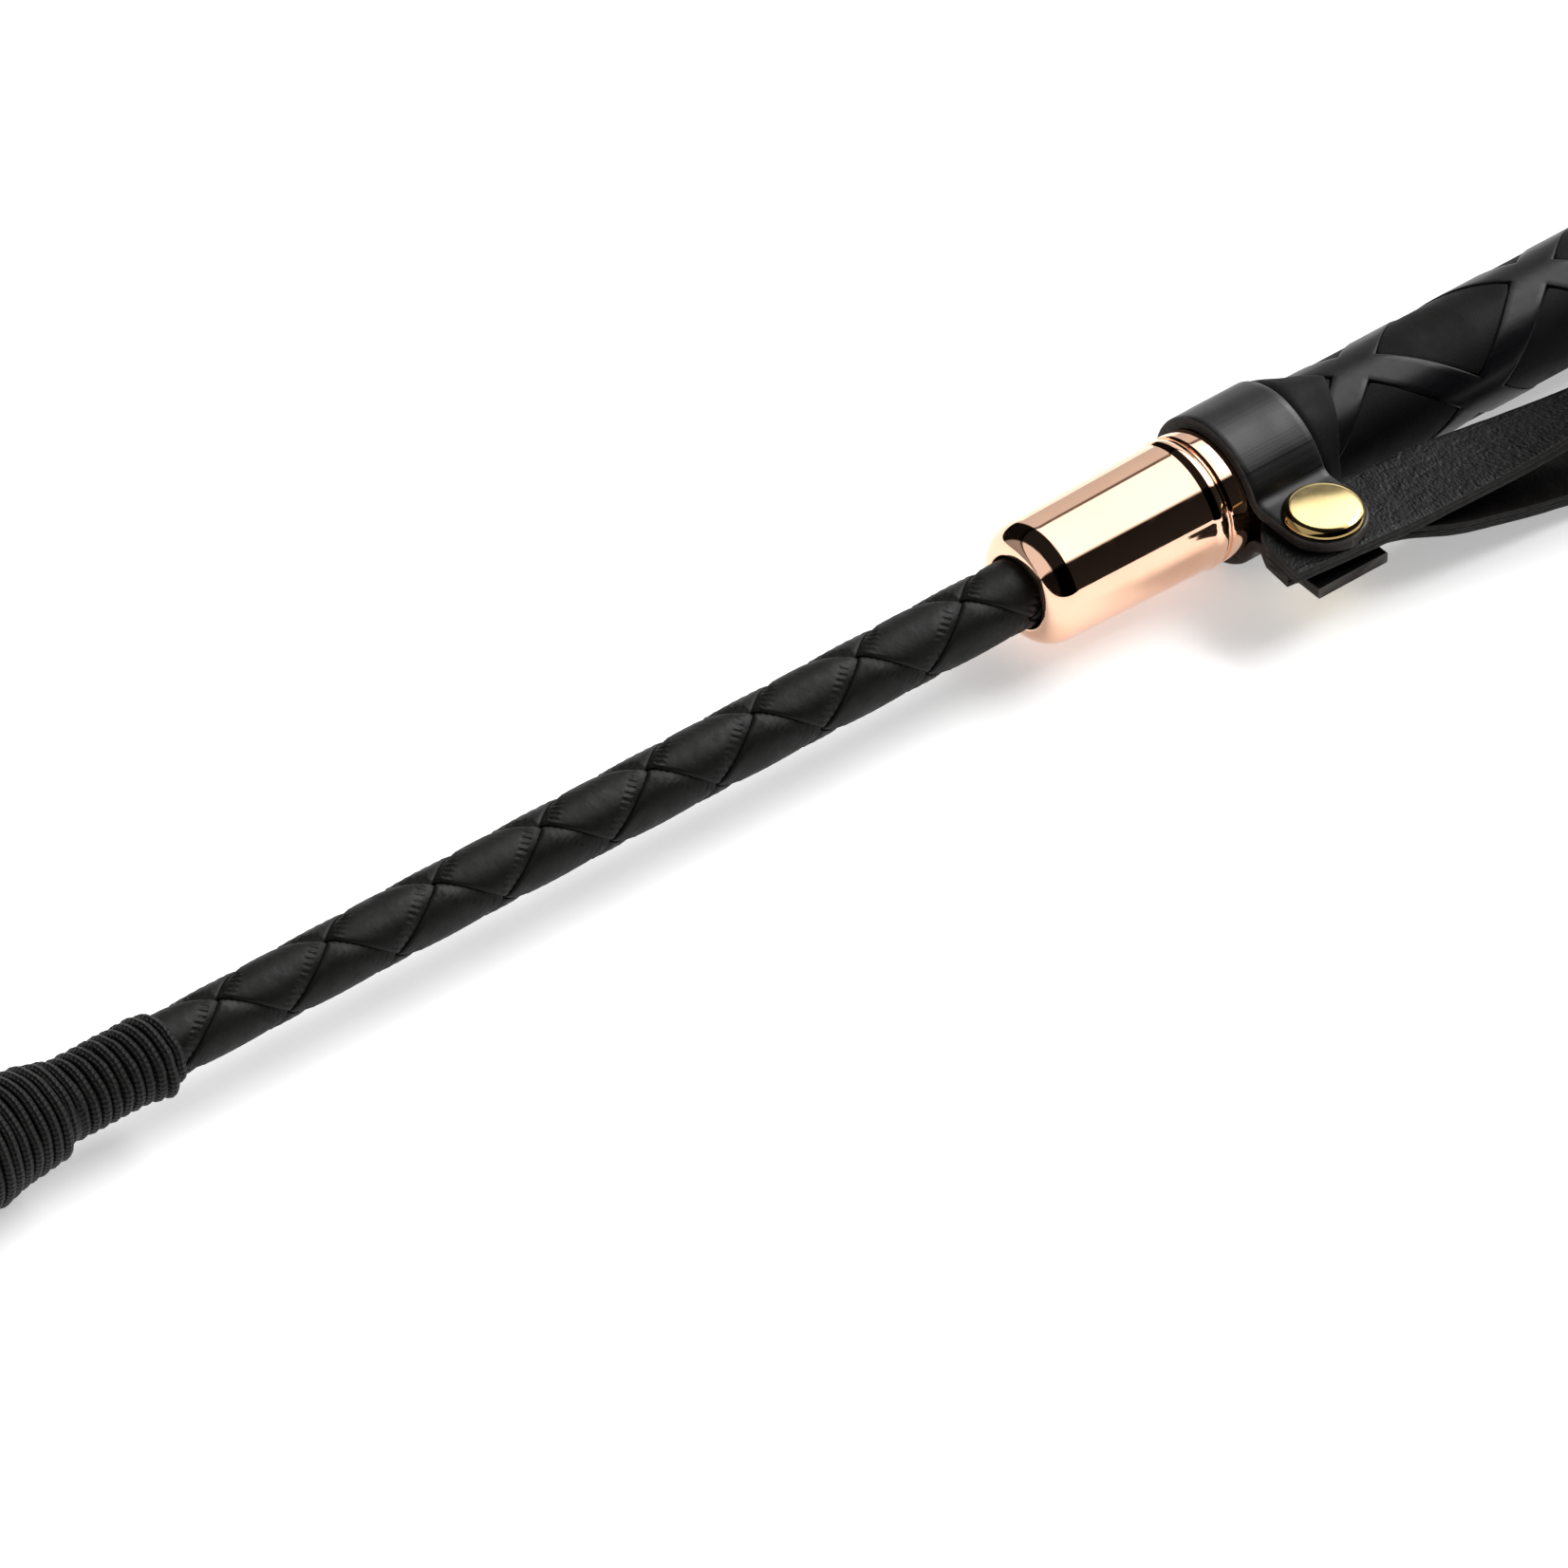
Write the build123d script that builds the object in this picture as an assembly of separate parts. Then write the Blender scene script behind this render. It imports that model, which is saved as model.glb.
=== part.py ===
from build123d import *
import math
import os

# Short riding crop, in millimetres.
# The crop lies along X: the butt face is at x = 0 and the keeper points to -X.
# +Z is up and the collar tabs and the wrist loop are on the -Y side.

# ---------------------------------------------------------------- driving sizes
OVERALL_LENGTH = 305.0      # butt face to the fold of the keeper
FLOOR_Z = -8.5              # the surface that the crop lies on

FERRULE_LENGTH = 35.4
FERRULE_FRONT = -115.0      # front face, where the shaft goes in
LIP_END = FERRULE_FRONT + 23.6
SEAT_START = FERRULE_FRONT + 26.0
SEAT_END = FERRULE_FRONT + FERRULE_LENGTH
BARREL_FRONT_R = 6.95
BARREL_REAR_R = 7.35
LIP_R = 7.6
NECK_R = 7.35
SEAT_R = 7.05

SHAFT_TIP = -241.0          # outer end of the plait, under the thin whipping
SHAFT_BUTT = FERRULE_FRONT + 4.0
SHAFT_TIP_R = 3.6
SHAFT_BUTT_R = 4.1
THONG_THICKNESS = 0.42
THONG_GAP_ANGLE = 5.0       # arc left open between two thongs of one layer
PLAIT_PITCH = 28.1          # one turn of a thong round the shaft
THONGS_EACH_WAY = 2
CORE_R = 1.75

THREAD_PITCH = 1.4
THIN_WHIPPING_TURNS = 10
THIN_WHIPPING_START = SHAFT_TIP - 0.4
THIN_WHIPPING_R = 4.7
THICK_WHIPPING_TURNS = 12
THICK_WHIPPING_R = 7.0

KEEPER_PLY = 1.3
KEEPER_ROOT_WIDTH = 9.0
KEEPER_WIDTH = 28.0
KEEPER_DROOP = 8.5          # degrees below the shaft line

BAND_WIDTH = 9.6
BAND_THICKNESS = 1.4
BAND_GAP = 0.1              # running clearance on the ferrule seat
TAB_END_Y = -18.2

STRAP_WIDTH = 10.0
STRAP_THICKNESS = 1.5
LAYER_GAP = 0.04            # between faces that slide on each other
RIVET_Y = -13.3
RIVET_CAP_R = 4.5
RIVET_CAP_HEIGHT = 1.9
RIVET_SHANK_R = 1.5
RIVET_HOLE_R = 1.58
LOOP_LENGTH = 128.0         # rivet to the far end of the wrist loop
LOOP_YAW = -5.0             # degrees that the loop points away from the grip
LOWER_LEG_SLOPE = 14.4      # degrees down, where the lower leg leaves the rivet
LOOP_ARCH_X = 75.0          # highest point of the upper leg
LOOP_ARCH_Z = 8.6
LOOP_TURN_Z = 3.0           # top of the far turn

GRIP_R = 6.7
PAD_R = 6.55
PAD_FLOOR_R = 5.95
GRIP_CORE_R = 5.3
PAD_PITCH = 49.8            # one turn of the diagonal bars between the pads
BAR_ANGLE = 44.0            # arc that a diagonal bar covers
HEM_R = 7.75
HEM_UNDER_LENGTH = 2.0      # how far back the hem reaches underneath, at the sides and on top
HEM_SIDE_LENGTH = 2.6
HEM_TOP_LENGTH = 7.4
POMMEL_LENGTH = 12.0
POMMEL_R = 7.4
WALL = 1.1

# ---------------------------------------------------------------- worked-out sizes
THIN_WHIPPING_END = THIN_WHIPPING_START + THIN_WHIPPING_TURNS * THREAD_PITCH
THICK_WHIPPING_END = THIN_WHIPPING_START
THICK_WHIPPING_START = THICK_WHIPPING_END - THICK_WHIPPING_TURNS * THREAD_PITCH
KEEPER_HINGE_X = THICK_WHIPPING_START - 1.6
KEEPER_LENGTH = (OVERALL_LENGTH + KEEPER_HINGE_X) / math.cos(math.radians(KEEPER_DROOP))
BAND_START = SEAT_START + 0.15
BAND_END = BAND_START + BAND_WIDTH
BAND_IN_R = SEAT_R + BAND_GAP
RIVET_X = (BAND_START + BAND_END) / 2
TAB_IN_Z = STRAP_THICKNESS + 2 * LAYER_GAP
TAB_OUT_Z = TAB_IN_Z + BAND_THICKNESS
HEEL_LENGTH = 6.9
FLEX_LENGTH = 7.4           # rivet to the line where the loop flexes
GRIP_START = SEAT_END + 0.3
GRIP_END = -POMMEL_LENGTH - 0.2
PAD_CENTRE_X = GRIP_START + 23.1


# ---------------------------------------------------------------- helpers
def turned(points):
    """Solid of revolution about X from (x, radius) points."""
    return revolve(make_face(Polyline(*points, close=True)), axis=Axis.X)


def tube(x0, x1, r_in, r_out, r_in_end=None, r_out_end=None):
    """Plain or conical tube along X."""
    r_in_end = r_in if r_in_end is None else r_in_end
    r_out_end = r_out if r_out_end is None else r_out_end
    return turned([(x0, r_in), (x0, r_out), (x1, r_out_end), (x1, r_in_end)])


def rod(x0, x1, r):
    """Round bar along X."""
    return turned([(x0, 0), (x0, r), (x1, r), (x1, 0)])


def shaft_radius(x):
    """Outer radius of the plait, which thickens evenly towards the ferrule."""
    share = (x - SHAFT_TIP) / (SHAFT_BUTT - SHAFT_TIP)
    return SHAFT_TIP_R + share * (SHAFT_BUTT_R - SHAFT_TIP_R)


def helical_lane(x0, x1, pitch, mid_angle, width_angle, reach):
    """Sector of a circle, twisted one turn about X for each pitch."""
    half = width_angle / 2
    start = (0, reach * math.cos(math.radians(mid_angle - half)), reach * math.sin(math.radians(mid_angle - half)))
    middle = (0, reach * math.cos(math.radians(mid_angle)), reach * math.sin(math.radians(mid_angle)))
    end = (0, reach * math.cos(math.radians(mid_angle + half)), reach * math.sin(math.radians(mid_angle + half)))
    rim = ThreePointArc(start, middle, end)
    outline = Wire([Line((0, 0, 0), start).edge(), rim.edge(), Line(end, (0, 0, 0)).edge()])
    twist = 360 * (x1 - x0) / pitch
    lane = Solid.extrude_linear_with_rotation(Face(outline), (0, 0, 0), (x1 - x0, 0, 0), twist)
    return Pos(x0, 0, 0) * lane


def thread_turns(x0, count, radius_at, r_in):
    """Whipping as one ridged sleeve, one round ridge for each turn of thread."""
    edges = []
    for turn in range(count):
        left = x0 + turn * THREAD_PITCH
        right = left + THREAD_PITCH
        middle = (left + right) / 2
        ridge = THREAD_PITCH * 0.3
        start = (left, radius_at(left) - ridge)
        end = (right, radius_at(right) - ridge)
        edges.append(ThreePointArc(start, (middle, radius_at(middle)), end).edge())
    x1 = x0 + count * THREAD_PITCH
    edges.append(Line((x1, radius_at(x1) - ridge), (x1, r_in)).edge())
    edges.append(Line((x1, r_in), (x0, r_in)).edge())
    edges.append(Line((x0, r_in), (x0, radius_at(x0) - ridge)).edge())
    return revolve(Face(Wire(edges)), axis=Axis.X)


# ---------------------------------------------------------------- shaft
def core_rod():
    """Glass-fibre rod that runs from the keeper root to the pommel."""
    return rod(THICK_WHIPPING_START + 2, -WALL - 0.6, CORE_R)


def shaft_underlay():
    """Tapered filler between the core rod and the plait."""
    depth = 2 * THONG_THICKNESS + 0.1
    return tube(SHAFT_TIP, SHAFT_BUTT, CORE_R + 0.02, SHAFT_TIP_R - depth, None, SHAFT_BUTT_R - depth)


def thong_layer(outer_depth):
    """Tapered sleeve that one pair of thongs is cut from."""
    inner_depth = outer_depth + THONG_THICKNESS
    return tube(
        SHAFT_TIP, SHAFT_BUTT,
        SHAFT_TIP_R - inner_depth, SHAFT_TIP_R - outer_depth,
        SHAFT_BUTT_R - inner_depth, SHAFT_BUTT_R - outer_depth,
    )


def braid_thong(number):
    """One leather thong: the first two wind one way, the other two the other way, over them."""
    outer = number > THONGS_EACH_WAY
    pitch = PLAIT_PITCH if outer else -PLAIT_PITCH
    depth = 0.0 if outer else THONG_THICKNESS + LAYER_GAP
    share = 360 / THONGS_EACH_WAY
    lane = helical_lane(
        SHAFT_TIP - 1, SHAFT_BUTT + 1, pitch, share * number, share - THONG_GAP_ANGLE, SHAFT_BUTT_R + 1.5,
    )
    return thong_layer(depth) & lane


# ---------------------------------------------------------------- keeper end
def thin_whipping():
    """Thread wound over the end of the plait, with a thicker last turn."""
    bore = shaft_radius(THIN_WHIPPING_END) + 0.02
    return thread_turns(THIN_WHIPPING_START, THIN_WHIPPING_TURNS, lambda x: THIN_WHIPPING_R, bore)


def thick_whipping_radius(x):
    """Outer radius of the thick whipping, which swells over the gathered keeper root."""
    share = (THICK_WHIPPING_END - x) / (THICK_WHIPPING_END - THICK_WHIPPING_START)
    swell = math.sin(math.pi * min(share, 1) * 0.62)
    return THIN_WHIPPING_R + 0.5 + (THICK_WHIPPING_R - THIN_WHIPPING_R - 0.5) * swell


def thick_whipping():
    """Thread wound over the keeper root."""
    return thread_turns(THICK_WHIPPING_START, THICK_WHIPPING_TURNS, thick_whipping_radius, 4.2)


def keeper_root():
    """Gathered end of the keeper leather, packed round the core rod."""
    return tube(THICK_WHIPPING_START + 0.1, THICK_WHIPPING_END - 0.1, CORE_R + 0.02, 4.18)


def keeper_flap():
    """Leather strip folded at its far end, so that its two leaves lie on each other."""
    narrow = KEEPER_ROOT_WIDTH / 2
    wide = KEEPER_WIDTH / 2
    flare = -0.42 * KEEPER_LENGTH
    start = -0.4
    outline = make_face(Polyline(
        (start, -narrow), (start, narrow), (flare, wide - 1), (-KEEPER_LENGTH, wide),
        (-KEEPER_LENGTH, -wide), (flare, 1 - wide), close=True,
    ))
    blank = Pos(0, 0, -KEEPER_PLY - LAYER_GAP) * extrude(outline, 2 * (KEEPER_PLY + LAYER_GAP))
    upright = blank.edges().filter_by(Axis.Z)
    corners = [edge for edge in upright if -KEEPER_LENGTH - 1 < edge.center().X < flare + 1]
    blank = fillet(corners, 2.0)
    fold = blank.edges().filter_by(Axis.Y).sort_by(Axis.X)[0:2]
    blank = fillet(fold, KEEPER_PLY * 0.85)
    slot_length = KEEPER_LENGTH - KEEPER_PLY
    slot = Pos(-slot_length / 2 + 1, 0, 0) * Box(slot_length + 2, KEEPER_WIDTH + 2, 2 * LAYER_GAP)
    bridge = Pos(start - 1.5, 0, 0) * Box(3, KEEPER_ROOT_WIDTH, 2 * LAYER_GAP)
    flap = blank - slot + bridge
    return Pos(KEEPER_HINGE_X, 0, 0) * Rot(0, -KEEPER_DROOP, 0) * flap


# ---------------------------------------------------------------- ferrule and grip
def ferrule_shell():
    """Polished cap with a rounded front, a lip, a groove, a neck ring and a seat for the collar."""
    bore = shaft_radius(FERRULE_FRONT) + 0.15
    inner = SEAT_R - WALL
    shell = turned([
        (FERRULE_FRONT, bore), (FERRULE_FRONT, BARREL_FRONT_R),
        (LIP_END - 2, BARREL_REAR_R), (LIP_END - 1.6, LIP_R), (LIP_END - 0.3, LIP_R),
        (LIP_END, NECK_R - 0.35), (LIP_END + 0.4, NECK_R - 0.35), (LIP_END + 0.5, NECK_R),
        (SEAT_START - 0.2, NECK_R), (SEAT_START, SEAT_R), (SEAT_END, SEAT_R),
        (SEAT_END, inner), (FERRULE_FRONT + 1.2, inner), (FERRULE_FRONT + 1.2, bore),
    ])
    front_edge = shell.edges().filter_by(GeomType.CIRCLE).sort_by(Axis.X)
    front_edge = [edge for edge in front_edge if abs(edge.radius - BARREL_FRONT_R) < 0.01]
    return fillet(front_edge, 2.5)


def ferrule_bush():
    """Plastic bush that centres the shaft in the ferrule."""
    start = FERRULE_FRONT + 1.25
    return tube(start, start + 9, shaft_radius(SHAFT_BUTT) + 0.05, SEAT_R - WALL - 0.02)


def grip_core():
    """Core of the grip, with a spigot into the ferrule and a tenon into the pommel."""
    spigot = tube(FERRULE_FRONT + 11, GRIP_START, CORE_R + 0.02, SEAT_R - WALL - 0.02)
    stem = tube(GRIP_START, GRIP_END, CORE_R + 0.02, GRIP_CORE_R)
    tenon = tube(GRIP_END, -WALL - 0.3, CORE_R + 0.02, GRIP_CORE_R)
    return spigot + stem + tenon


def pad_lanes(direction):
    """The two lanes between the diagonal bars that wind one way."""
    margin = 2.0
    start = GRIP_START - margin
    end = GRIP_END + margin
    # The lanes are set so that a pad is centred on top of the grip at each whole pitch from here.
    phase = 360 * (start - PAD_CENTRE_X) / PAD_PITCH * direction
    lanes = []
    for side in (0, 180):
        lanes.append(helical_lane(
            start, end, direction * PAD_PITCH, 90 + phase + side, 180 - BAR_ANGLE, GRIP_R + 2,
        ))
    return lanes


def grip_pads():
    """Matte diamond pads, let into the glossy sleeve where the lanes cross."""
    ring = tube(GRIP_START + 0.6, GRIP_END - 0.6, PAD_FLOOR_R, PAD_R)
    pads = []
    for right in pad_lanes(1):
        part = ring & right
        for left in pad_lanes(-1):
            pads += (part & left).solids()
    return [pad for pad in pads if pad.volume > 2.0]


def grip_sleeve(pads):
    """Glossy sleeve with a recess for each pad."""
    sleeve = tube(GRIP_START, GRIP_END, GRIP_CORE_R + 0.02, GRIP_R)
    for pad in pads:
        sleeve = sleeve - pad
    return sleeve


def grip_hem():
    """Thick leather edge at the front of the grip, thinning out over the sleeve."""
    start = SEAT_END + 0.55
    point = start + HEM_TOP_LENGTH
    reach = 10
    cone = turned([
        (start, GRIP_R + 0.02), (start, HEM_R), (start + 1.2, HEM_R - 0.05), (point, GRIP_R + 0.25),
        (point, GRIP_R + 0.02),
    ])
    slant = make_face(Polyline(
        (start - 1, -reach), (start + HEM_UNDER_LENGTH, -reach), (start + HEM_SIDE_LENGTH, 0),
        (point, HEM_R), (point + 1, reach), (start - 1, reach), close=True,
    ))
    cutter = extrude(Plane.XZ * slant, 2 * reach, both=True)
    return cone & cutter


def pommel_cap():
    """Polished cap over the end of the grip, with a flat butt face."""
    shell = turned([
        (-POMMEL_LENGTH, GRIP_CORE_R + 0.04), (-POMMEL_LENGTH, POMMEL_R), (0, POMMEL_R), (0, 0),
        (-WALL, 0), (-WALL, GRIP_CORE_R + 0.04),
    ])
    rear = [edge for edge in shell.edges().filter_by(GeomType.CIRCLE)
            if edge.center().X > -0.01 and abs(edge.radius - POMMEL_R) < 0.01]
    shell = fillet(rear, 2.2)
    front = [edge for edge in shell.edges().filter_by(GeomType.CIRCLE)
             if edge.center().X < 0.01 - POMMEL_LENGTH and abs(edge.radius - POMMEL_R) < 0.01]
    return fillet(front, 0.3)


# ---------------------------------------------------------------- collar and rivet
def collar_band():
    """Leather band round the ferrule seat, its two ends brought together as tabs."""
    out_r = BAND_IN_R + BAND_THICKNESS
    ring = Circle(out_r)
    bore = Circle(BAND_IN_R)
    tab_length = -TAB_END_Y
    tabs = Pos(-tab_length / 2, 0) * Rectangle(tab_length, 2 * TAB_OUT_Z)
    slot = Pos(-tab_length / 2 - 1, 0) * Rectangle(tab_length + 2, 2 * TAB_IN_Z)
    outline = ring + tabs
    creases = [vertex for vertex in outline.vertices() if -out_r < vertex.X < -out_r / 2]
    outline = fillet(creases, 1.6)
    section = outline - bore - slot
    band = extrude(Plane.YZ * section, BAND_WIDTH)
    band = Pos(BAND_START, 0, 0) * band
    round_end = Pos(RIVET_X, RIVET_Y, TAB_OUT_Z) * Cylinder(BAND_WIDTH / 2 + 0.05, 2 * TAB_OUT_Z)
    far_strip = Pos(RIVET_X, RIVET_Y - 10, TAB_OUT_Z) * Box(BAND_WIDTH + 2, 20, TAB_OUT_Z * 1.2)
    band = band - (far_strip - round_end)
    hole = Pos(RIVET_X, RIVET_Y, 0) * Cylinder(RIVET_SHANK_R, 4 * TAB_OUT_Z)
    return band - hole


def dome(height, radius):
    """Low spherical cap with an upright rim, standing on z = 0."""
    rim = 0.5
    rise = height - rim
    sphere_r = (radius ** 2 + rise ** 2) / (2 * rise)
    centre = height - sphere_r
    shoulder = (radius / 2, centre + math.sqrt(sphere_r ** 2 - radius ** 2 / 4))
    edges = [
        Line((0, 0), (radius, 0)).edge(),
        Line((radius, 0), (radius, rim)).edge(),
        ThreePointArc((radius, rim), shoulder, (0, height)).edge(),
        Line((0, height), (0, 0)).edge(),
    ]
    return Rot(90, 0, 0) * revolve(Face(Wire(edges)), axis=Axis.Y)


def rivet_cap():
    """Domed brass cap on the upper tab."""
    return Pos(RIVET_X, RIVET_Y, TAB_OUT_Z) * dome(RIVET_CAP_HEIGHT, RIVET_CAP_R)


def rivet_back_cap():
    """Domed brass cap under the lower tab."""
    return Pos(RIVET_X, RIVET_Y, -TAB_OUT_Z) * Rot(180, 0, 0) * dome(RIVET_CAP_HEIGHT, RIVET_CAP_R)


def rivet_shank():
    """Brass shank through both tabs and both strap ends."""
    return Pos(RIVET_X, RIVET_Y, 0) * Cylinder(RIVET_SHANK_R, 2 * TAB_OUT_Z)


# ---------------------------------------------------------------- wrist loop
def place_loop(shape):
    """From the loop's own frame, with its rivet at the origin, to the crop's frame."""
    return Pos(RIVET_X, RIVET_Y, 0) * Rot(0, 0, LOOP_YAW) * shape


def strap_end(side):
    """Clamped end of the strap: side 1 is the upper one, -1 the lower."""
    half = STRAP_WIDTH / 2
    front = FLEX_LENGTH - STRAP_THICKNESS - LAYER_GAP - 0.25
    blank = make_face(Polyline(
        (-HEEL_LENGTH, -half), (front, -half), (front, half), (-HEEL_LENGTH, half), close=True,
    ))
    heel = [vertex for vertex in blank.vertices() if vertex.X < 0 < vertex.Y]
    blank = fillet(heel, half - 0.2)
    low = LAYER_GAP if side > 0 else -STRAP_THICKNESS - LAYER_GAP
    end = Pos(0, 0, low) * extrude(blank, STRAP_THICKNESS)
    return place_loop(end - Cylinder(RIVET_HOLE_R, 4 * STRAP_THICKNESS))


def loop_outline():
    """Mid-surface of the two legs and the far turn, seen from the side as a closed outline.

    The lower leg leaves the rivet steeply and settles on the surface that the crop lies on.
    The upper leg rises to a low arch, and both meet in a tight far turn.
    """
    rest = FLOOR_Z + STRAP_THICKNESS / 2 + 0.15
    half_stack = STRAP_THICKNESS / 2 + LAYER_GAP
    landing = FLEX_LENGTH - (rest + half_stack) / math.tan(math.radians(LOWER_LEG_SLOPE))
    return make_face(FilletPolyline(
        (FLEX_LENGTH, -half_stack), (landing, rest), (LOOP_LENGTH, rest), (LOOP_LENGTH, LOOP_TURN_Z),
        (LOOP_ARCH_X, LOOP_ARCH_Z), (FLEX_LENGTH, half_stack),
        radius=[0, 195, 4.7, 4.7, 180, 0], close=True,
    ))


def loop_ply(outer_face, inner_face):
    """One ply of the strap, between two outlines, with a rounded end at the flex line."""
    ply = outer_face - inner_face
    solid = extrude(Plane.XZ * ply, STRAP_WIDTH / 2, both=True)
    keep = Pos(FLEX_LENGTH + LOOP_LENGTH / 2, 0, 0) * Box(LOOP_LENGTH, STRAP_WIDTH, 60)
    knuckle = Pos(FLEX_LENGTH, 0, 0) * Rot(90, 0, 0) * Cylinder(STRAP_THICKNESS + LAYER_GAP, STRAP_WIDTH)
    return place_loop(solid & (keep + knuckle))


def wrist_loop_outer():
    """Outer, grained ply of the wrist loop."""
    middle = loop_outline()
    return loop_ply(offset(middle, STRAP_THICKNESS / 2), middle)


def wrist_loop_lining():
    """Inner ply of the wrist loop."""
    middle = loop_outline()
    return loop_ply(middle, offset(middle, -STRAP_THICKNESS / 2))


# ---------------------------------------------------------------- write the nodes
def write_nodes():
    """Build every sub-part and write one STEP file for each."""
    pads = grip_pads()
    nodes = {
        "core_rod": core_rod(),
        "shaft_underlay": shaft_underlay(),
        "thin_whipping": thin_whipping(),
        "thick_whipping": thick_whipping(),
        "keeper_root": keeper_root(),
        "keeper_flap": keeper_flap(),
        "ferrule_shell": ferrule_shell(),
        "ferrule_bush": ferrule_bush(),
        "grip_core": grip_core(),
        "grip_sleeve": grip_sleeve(pads),
        "grip_pads": Compound(pads),
        "grip_hem": grip_hem(),
        "pommel_cap": pommel_cap(),
        "collar_band": collar_band(),
        "rivet_cap": rivet_cap(),
        "rivet_shank": rivet_shank(),
        "rivet_back_cap": rivet_back_cap(),
        "strap_end_upper": strap_end(1),
        "strap_end_lower": strap_end(-1),
        "wrist_loop_outer": wrist_loop_outer(),
        "wrist_loop_lining": wrist_loop_lining(),
    }
    for number in range(1, 2 * THONGS_EACH_WAY + 1):
        nodes[f"braid_thong_{number}"] = braid_thong(number)
    os.makedirs("parts", exist_ok=True)
    for name, shape in nodes.items():
        export_step(shape, f"parts/{name}.step")


write_nodes()
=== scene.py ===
from itertools import product
import math

import bmesh
import bpy
from mathutils import Matrix, Vector, noise


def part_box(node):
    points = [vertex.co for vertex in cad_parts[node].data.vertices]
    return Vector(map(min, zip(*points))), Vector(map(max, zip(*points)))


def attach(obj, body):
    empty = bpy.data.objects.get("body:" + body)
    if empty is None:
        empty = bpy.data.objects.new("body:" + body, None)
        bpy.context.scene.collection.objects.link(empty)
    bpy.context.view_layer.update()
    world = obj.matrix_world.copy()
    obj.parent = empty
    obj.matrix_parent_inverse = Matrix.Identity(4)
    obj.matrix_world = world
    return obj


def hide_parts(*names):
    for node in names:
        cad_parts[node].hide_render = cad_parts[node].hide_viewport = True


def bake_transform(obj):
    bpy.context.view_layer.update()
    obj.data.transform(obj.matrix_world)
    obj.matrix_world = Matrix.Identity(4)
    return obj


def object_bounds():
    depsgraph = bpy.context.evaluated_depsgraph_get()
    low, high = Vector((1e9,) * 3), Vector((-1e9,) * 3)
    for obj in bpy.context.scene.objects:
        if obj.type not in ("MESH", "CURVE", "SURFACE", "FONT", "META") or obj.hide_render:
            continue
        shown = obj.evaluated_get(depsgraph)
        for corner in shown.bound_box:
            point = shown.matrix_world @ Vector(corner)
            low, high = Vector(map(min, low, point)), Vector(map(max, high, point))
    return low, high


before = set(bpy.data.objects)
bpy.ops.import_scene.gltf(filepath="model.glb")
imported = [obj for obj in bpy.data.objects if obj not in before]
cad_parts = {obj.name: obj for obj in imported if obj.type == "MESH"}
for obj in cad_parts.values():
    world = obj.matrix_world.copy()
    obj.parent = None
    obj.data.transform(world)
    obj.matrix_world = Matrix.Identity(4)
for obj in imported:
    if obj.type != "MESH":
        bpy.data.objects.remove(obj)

# The looks of a short riding crop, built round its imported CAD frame.
# Lengths in this script are millimetres in the row frame, and metres only inside Blender.
MM = 0.001
CAD_BOX = [list(corner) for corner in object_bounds()]


# ---------------- sizes from the frame
def box_mm(node):
    """Lowest and highest corner of a CAD node, in millimetres."""
    low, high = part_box(node)
    return low / MM, high / MM


SHELL_LOW, SHELL_HIGH = box_mm("ferrule_shell")
FERRULE_FRONT, FERRULE_END, LIP_R = SHELL_LOW.x, SHELL_HIGH.x, SHELL_HIGH.z
SEAT_R = LIP_R - 0.55
WALL = 1.1

BAND_LOW, BAND_HIGH = box_mm("collar_band")
BAND_START, BAND_END, BAND_OUT_R = BAND_LOW.x, BAND_HIGH.x, BAND_HIGH.z
BAND_THICKNESS = 1.4

CAP_LOW, CAP_HIGH = box_mm("rivet_cap")
RIVET_X, RIVET_Y = (CAP_LOW.x + CAP_HIGH.x) / 2, (CAP_LOW.y + CAP_HIGH.y) / 2

UNDERLAY_LOW, UNDERLAY_HIGH = box_mm("shaft_underlay")
PLAIT_START, PLAIT_END = UNDERLAY_LOW.x, UNDERLAY_HIGH.x
THIN_LOW, THIN_HIGH = box_mm("thin_whipping")
THIN_START, THIN_END = THIN_LOW.x, THIN_HIGH.x
THICK_START = box_mm("thick_whipping")[0].x

SLEEVE_LOW, SLEEVE_HIGH = box_mm("grip_sleeve")
GRIP_START, GRIP_END, GRIP_R = SLEEVE_LOW.x, SLEEVE_HIGH.x, SLEEVE_HIGH.z
PAD_R = box_mm("grip_pads")[1].z
HEM_LOW, HEM_HIGH = box_mm("grip_hem")
HEM_START, HEM_R = HEM_LOW.x, HEM_HIGH.z

POMMEL_LOW, POMMEL_HIGH = box_mm("pommel_cap")
POMMEL_START, POMMEL_R = POMMEL_LOW.x, POMMEL_HIGH.z
KEEPER_LOW, KEEPER_HIGH = box_mm("keeper_flap")


# ---------------- mesh helpers
def smoothstep(low, high, value):
    """0 below low, 1 above high, and a smooth ramp between them."""
    share = min(1.0, max(0.0, (value - low) / (high - low)))
    return share * share * (3 - 2 * share)


def hump(value, low, high, still_high, low_again):
    """A smooth ramp up from low to high, and down again from still_high to low_again."""
    return smoothstep(low, high, value) * (1 - smoothstep(still_high, low_again, value))


def mix(a, b, share):
    """The number that lies share of the way from a to b."""
    return a + (b - a) * share


def around(x, radius, angle):
    """The point at a radius from the crop's axis, at an angle from +Y towards +Z."""
    return x, radius * math.cos(angle), radius * math.sin(angle)


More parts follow.
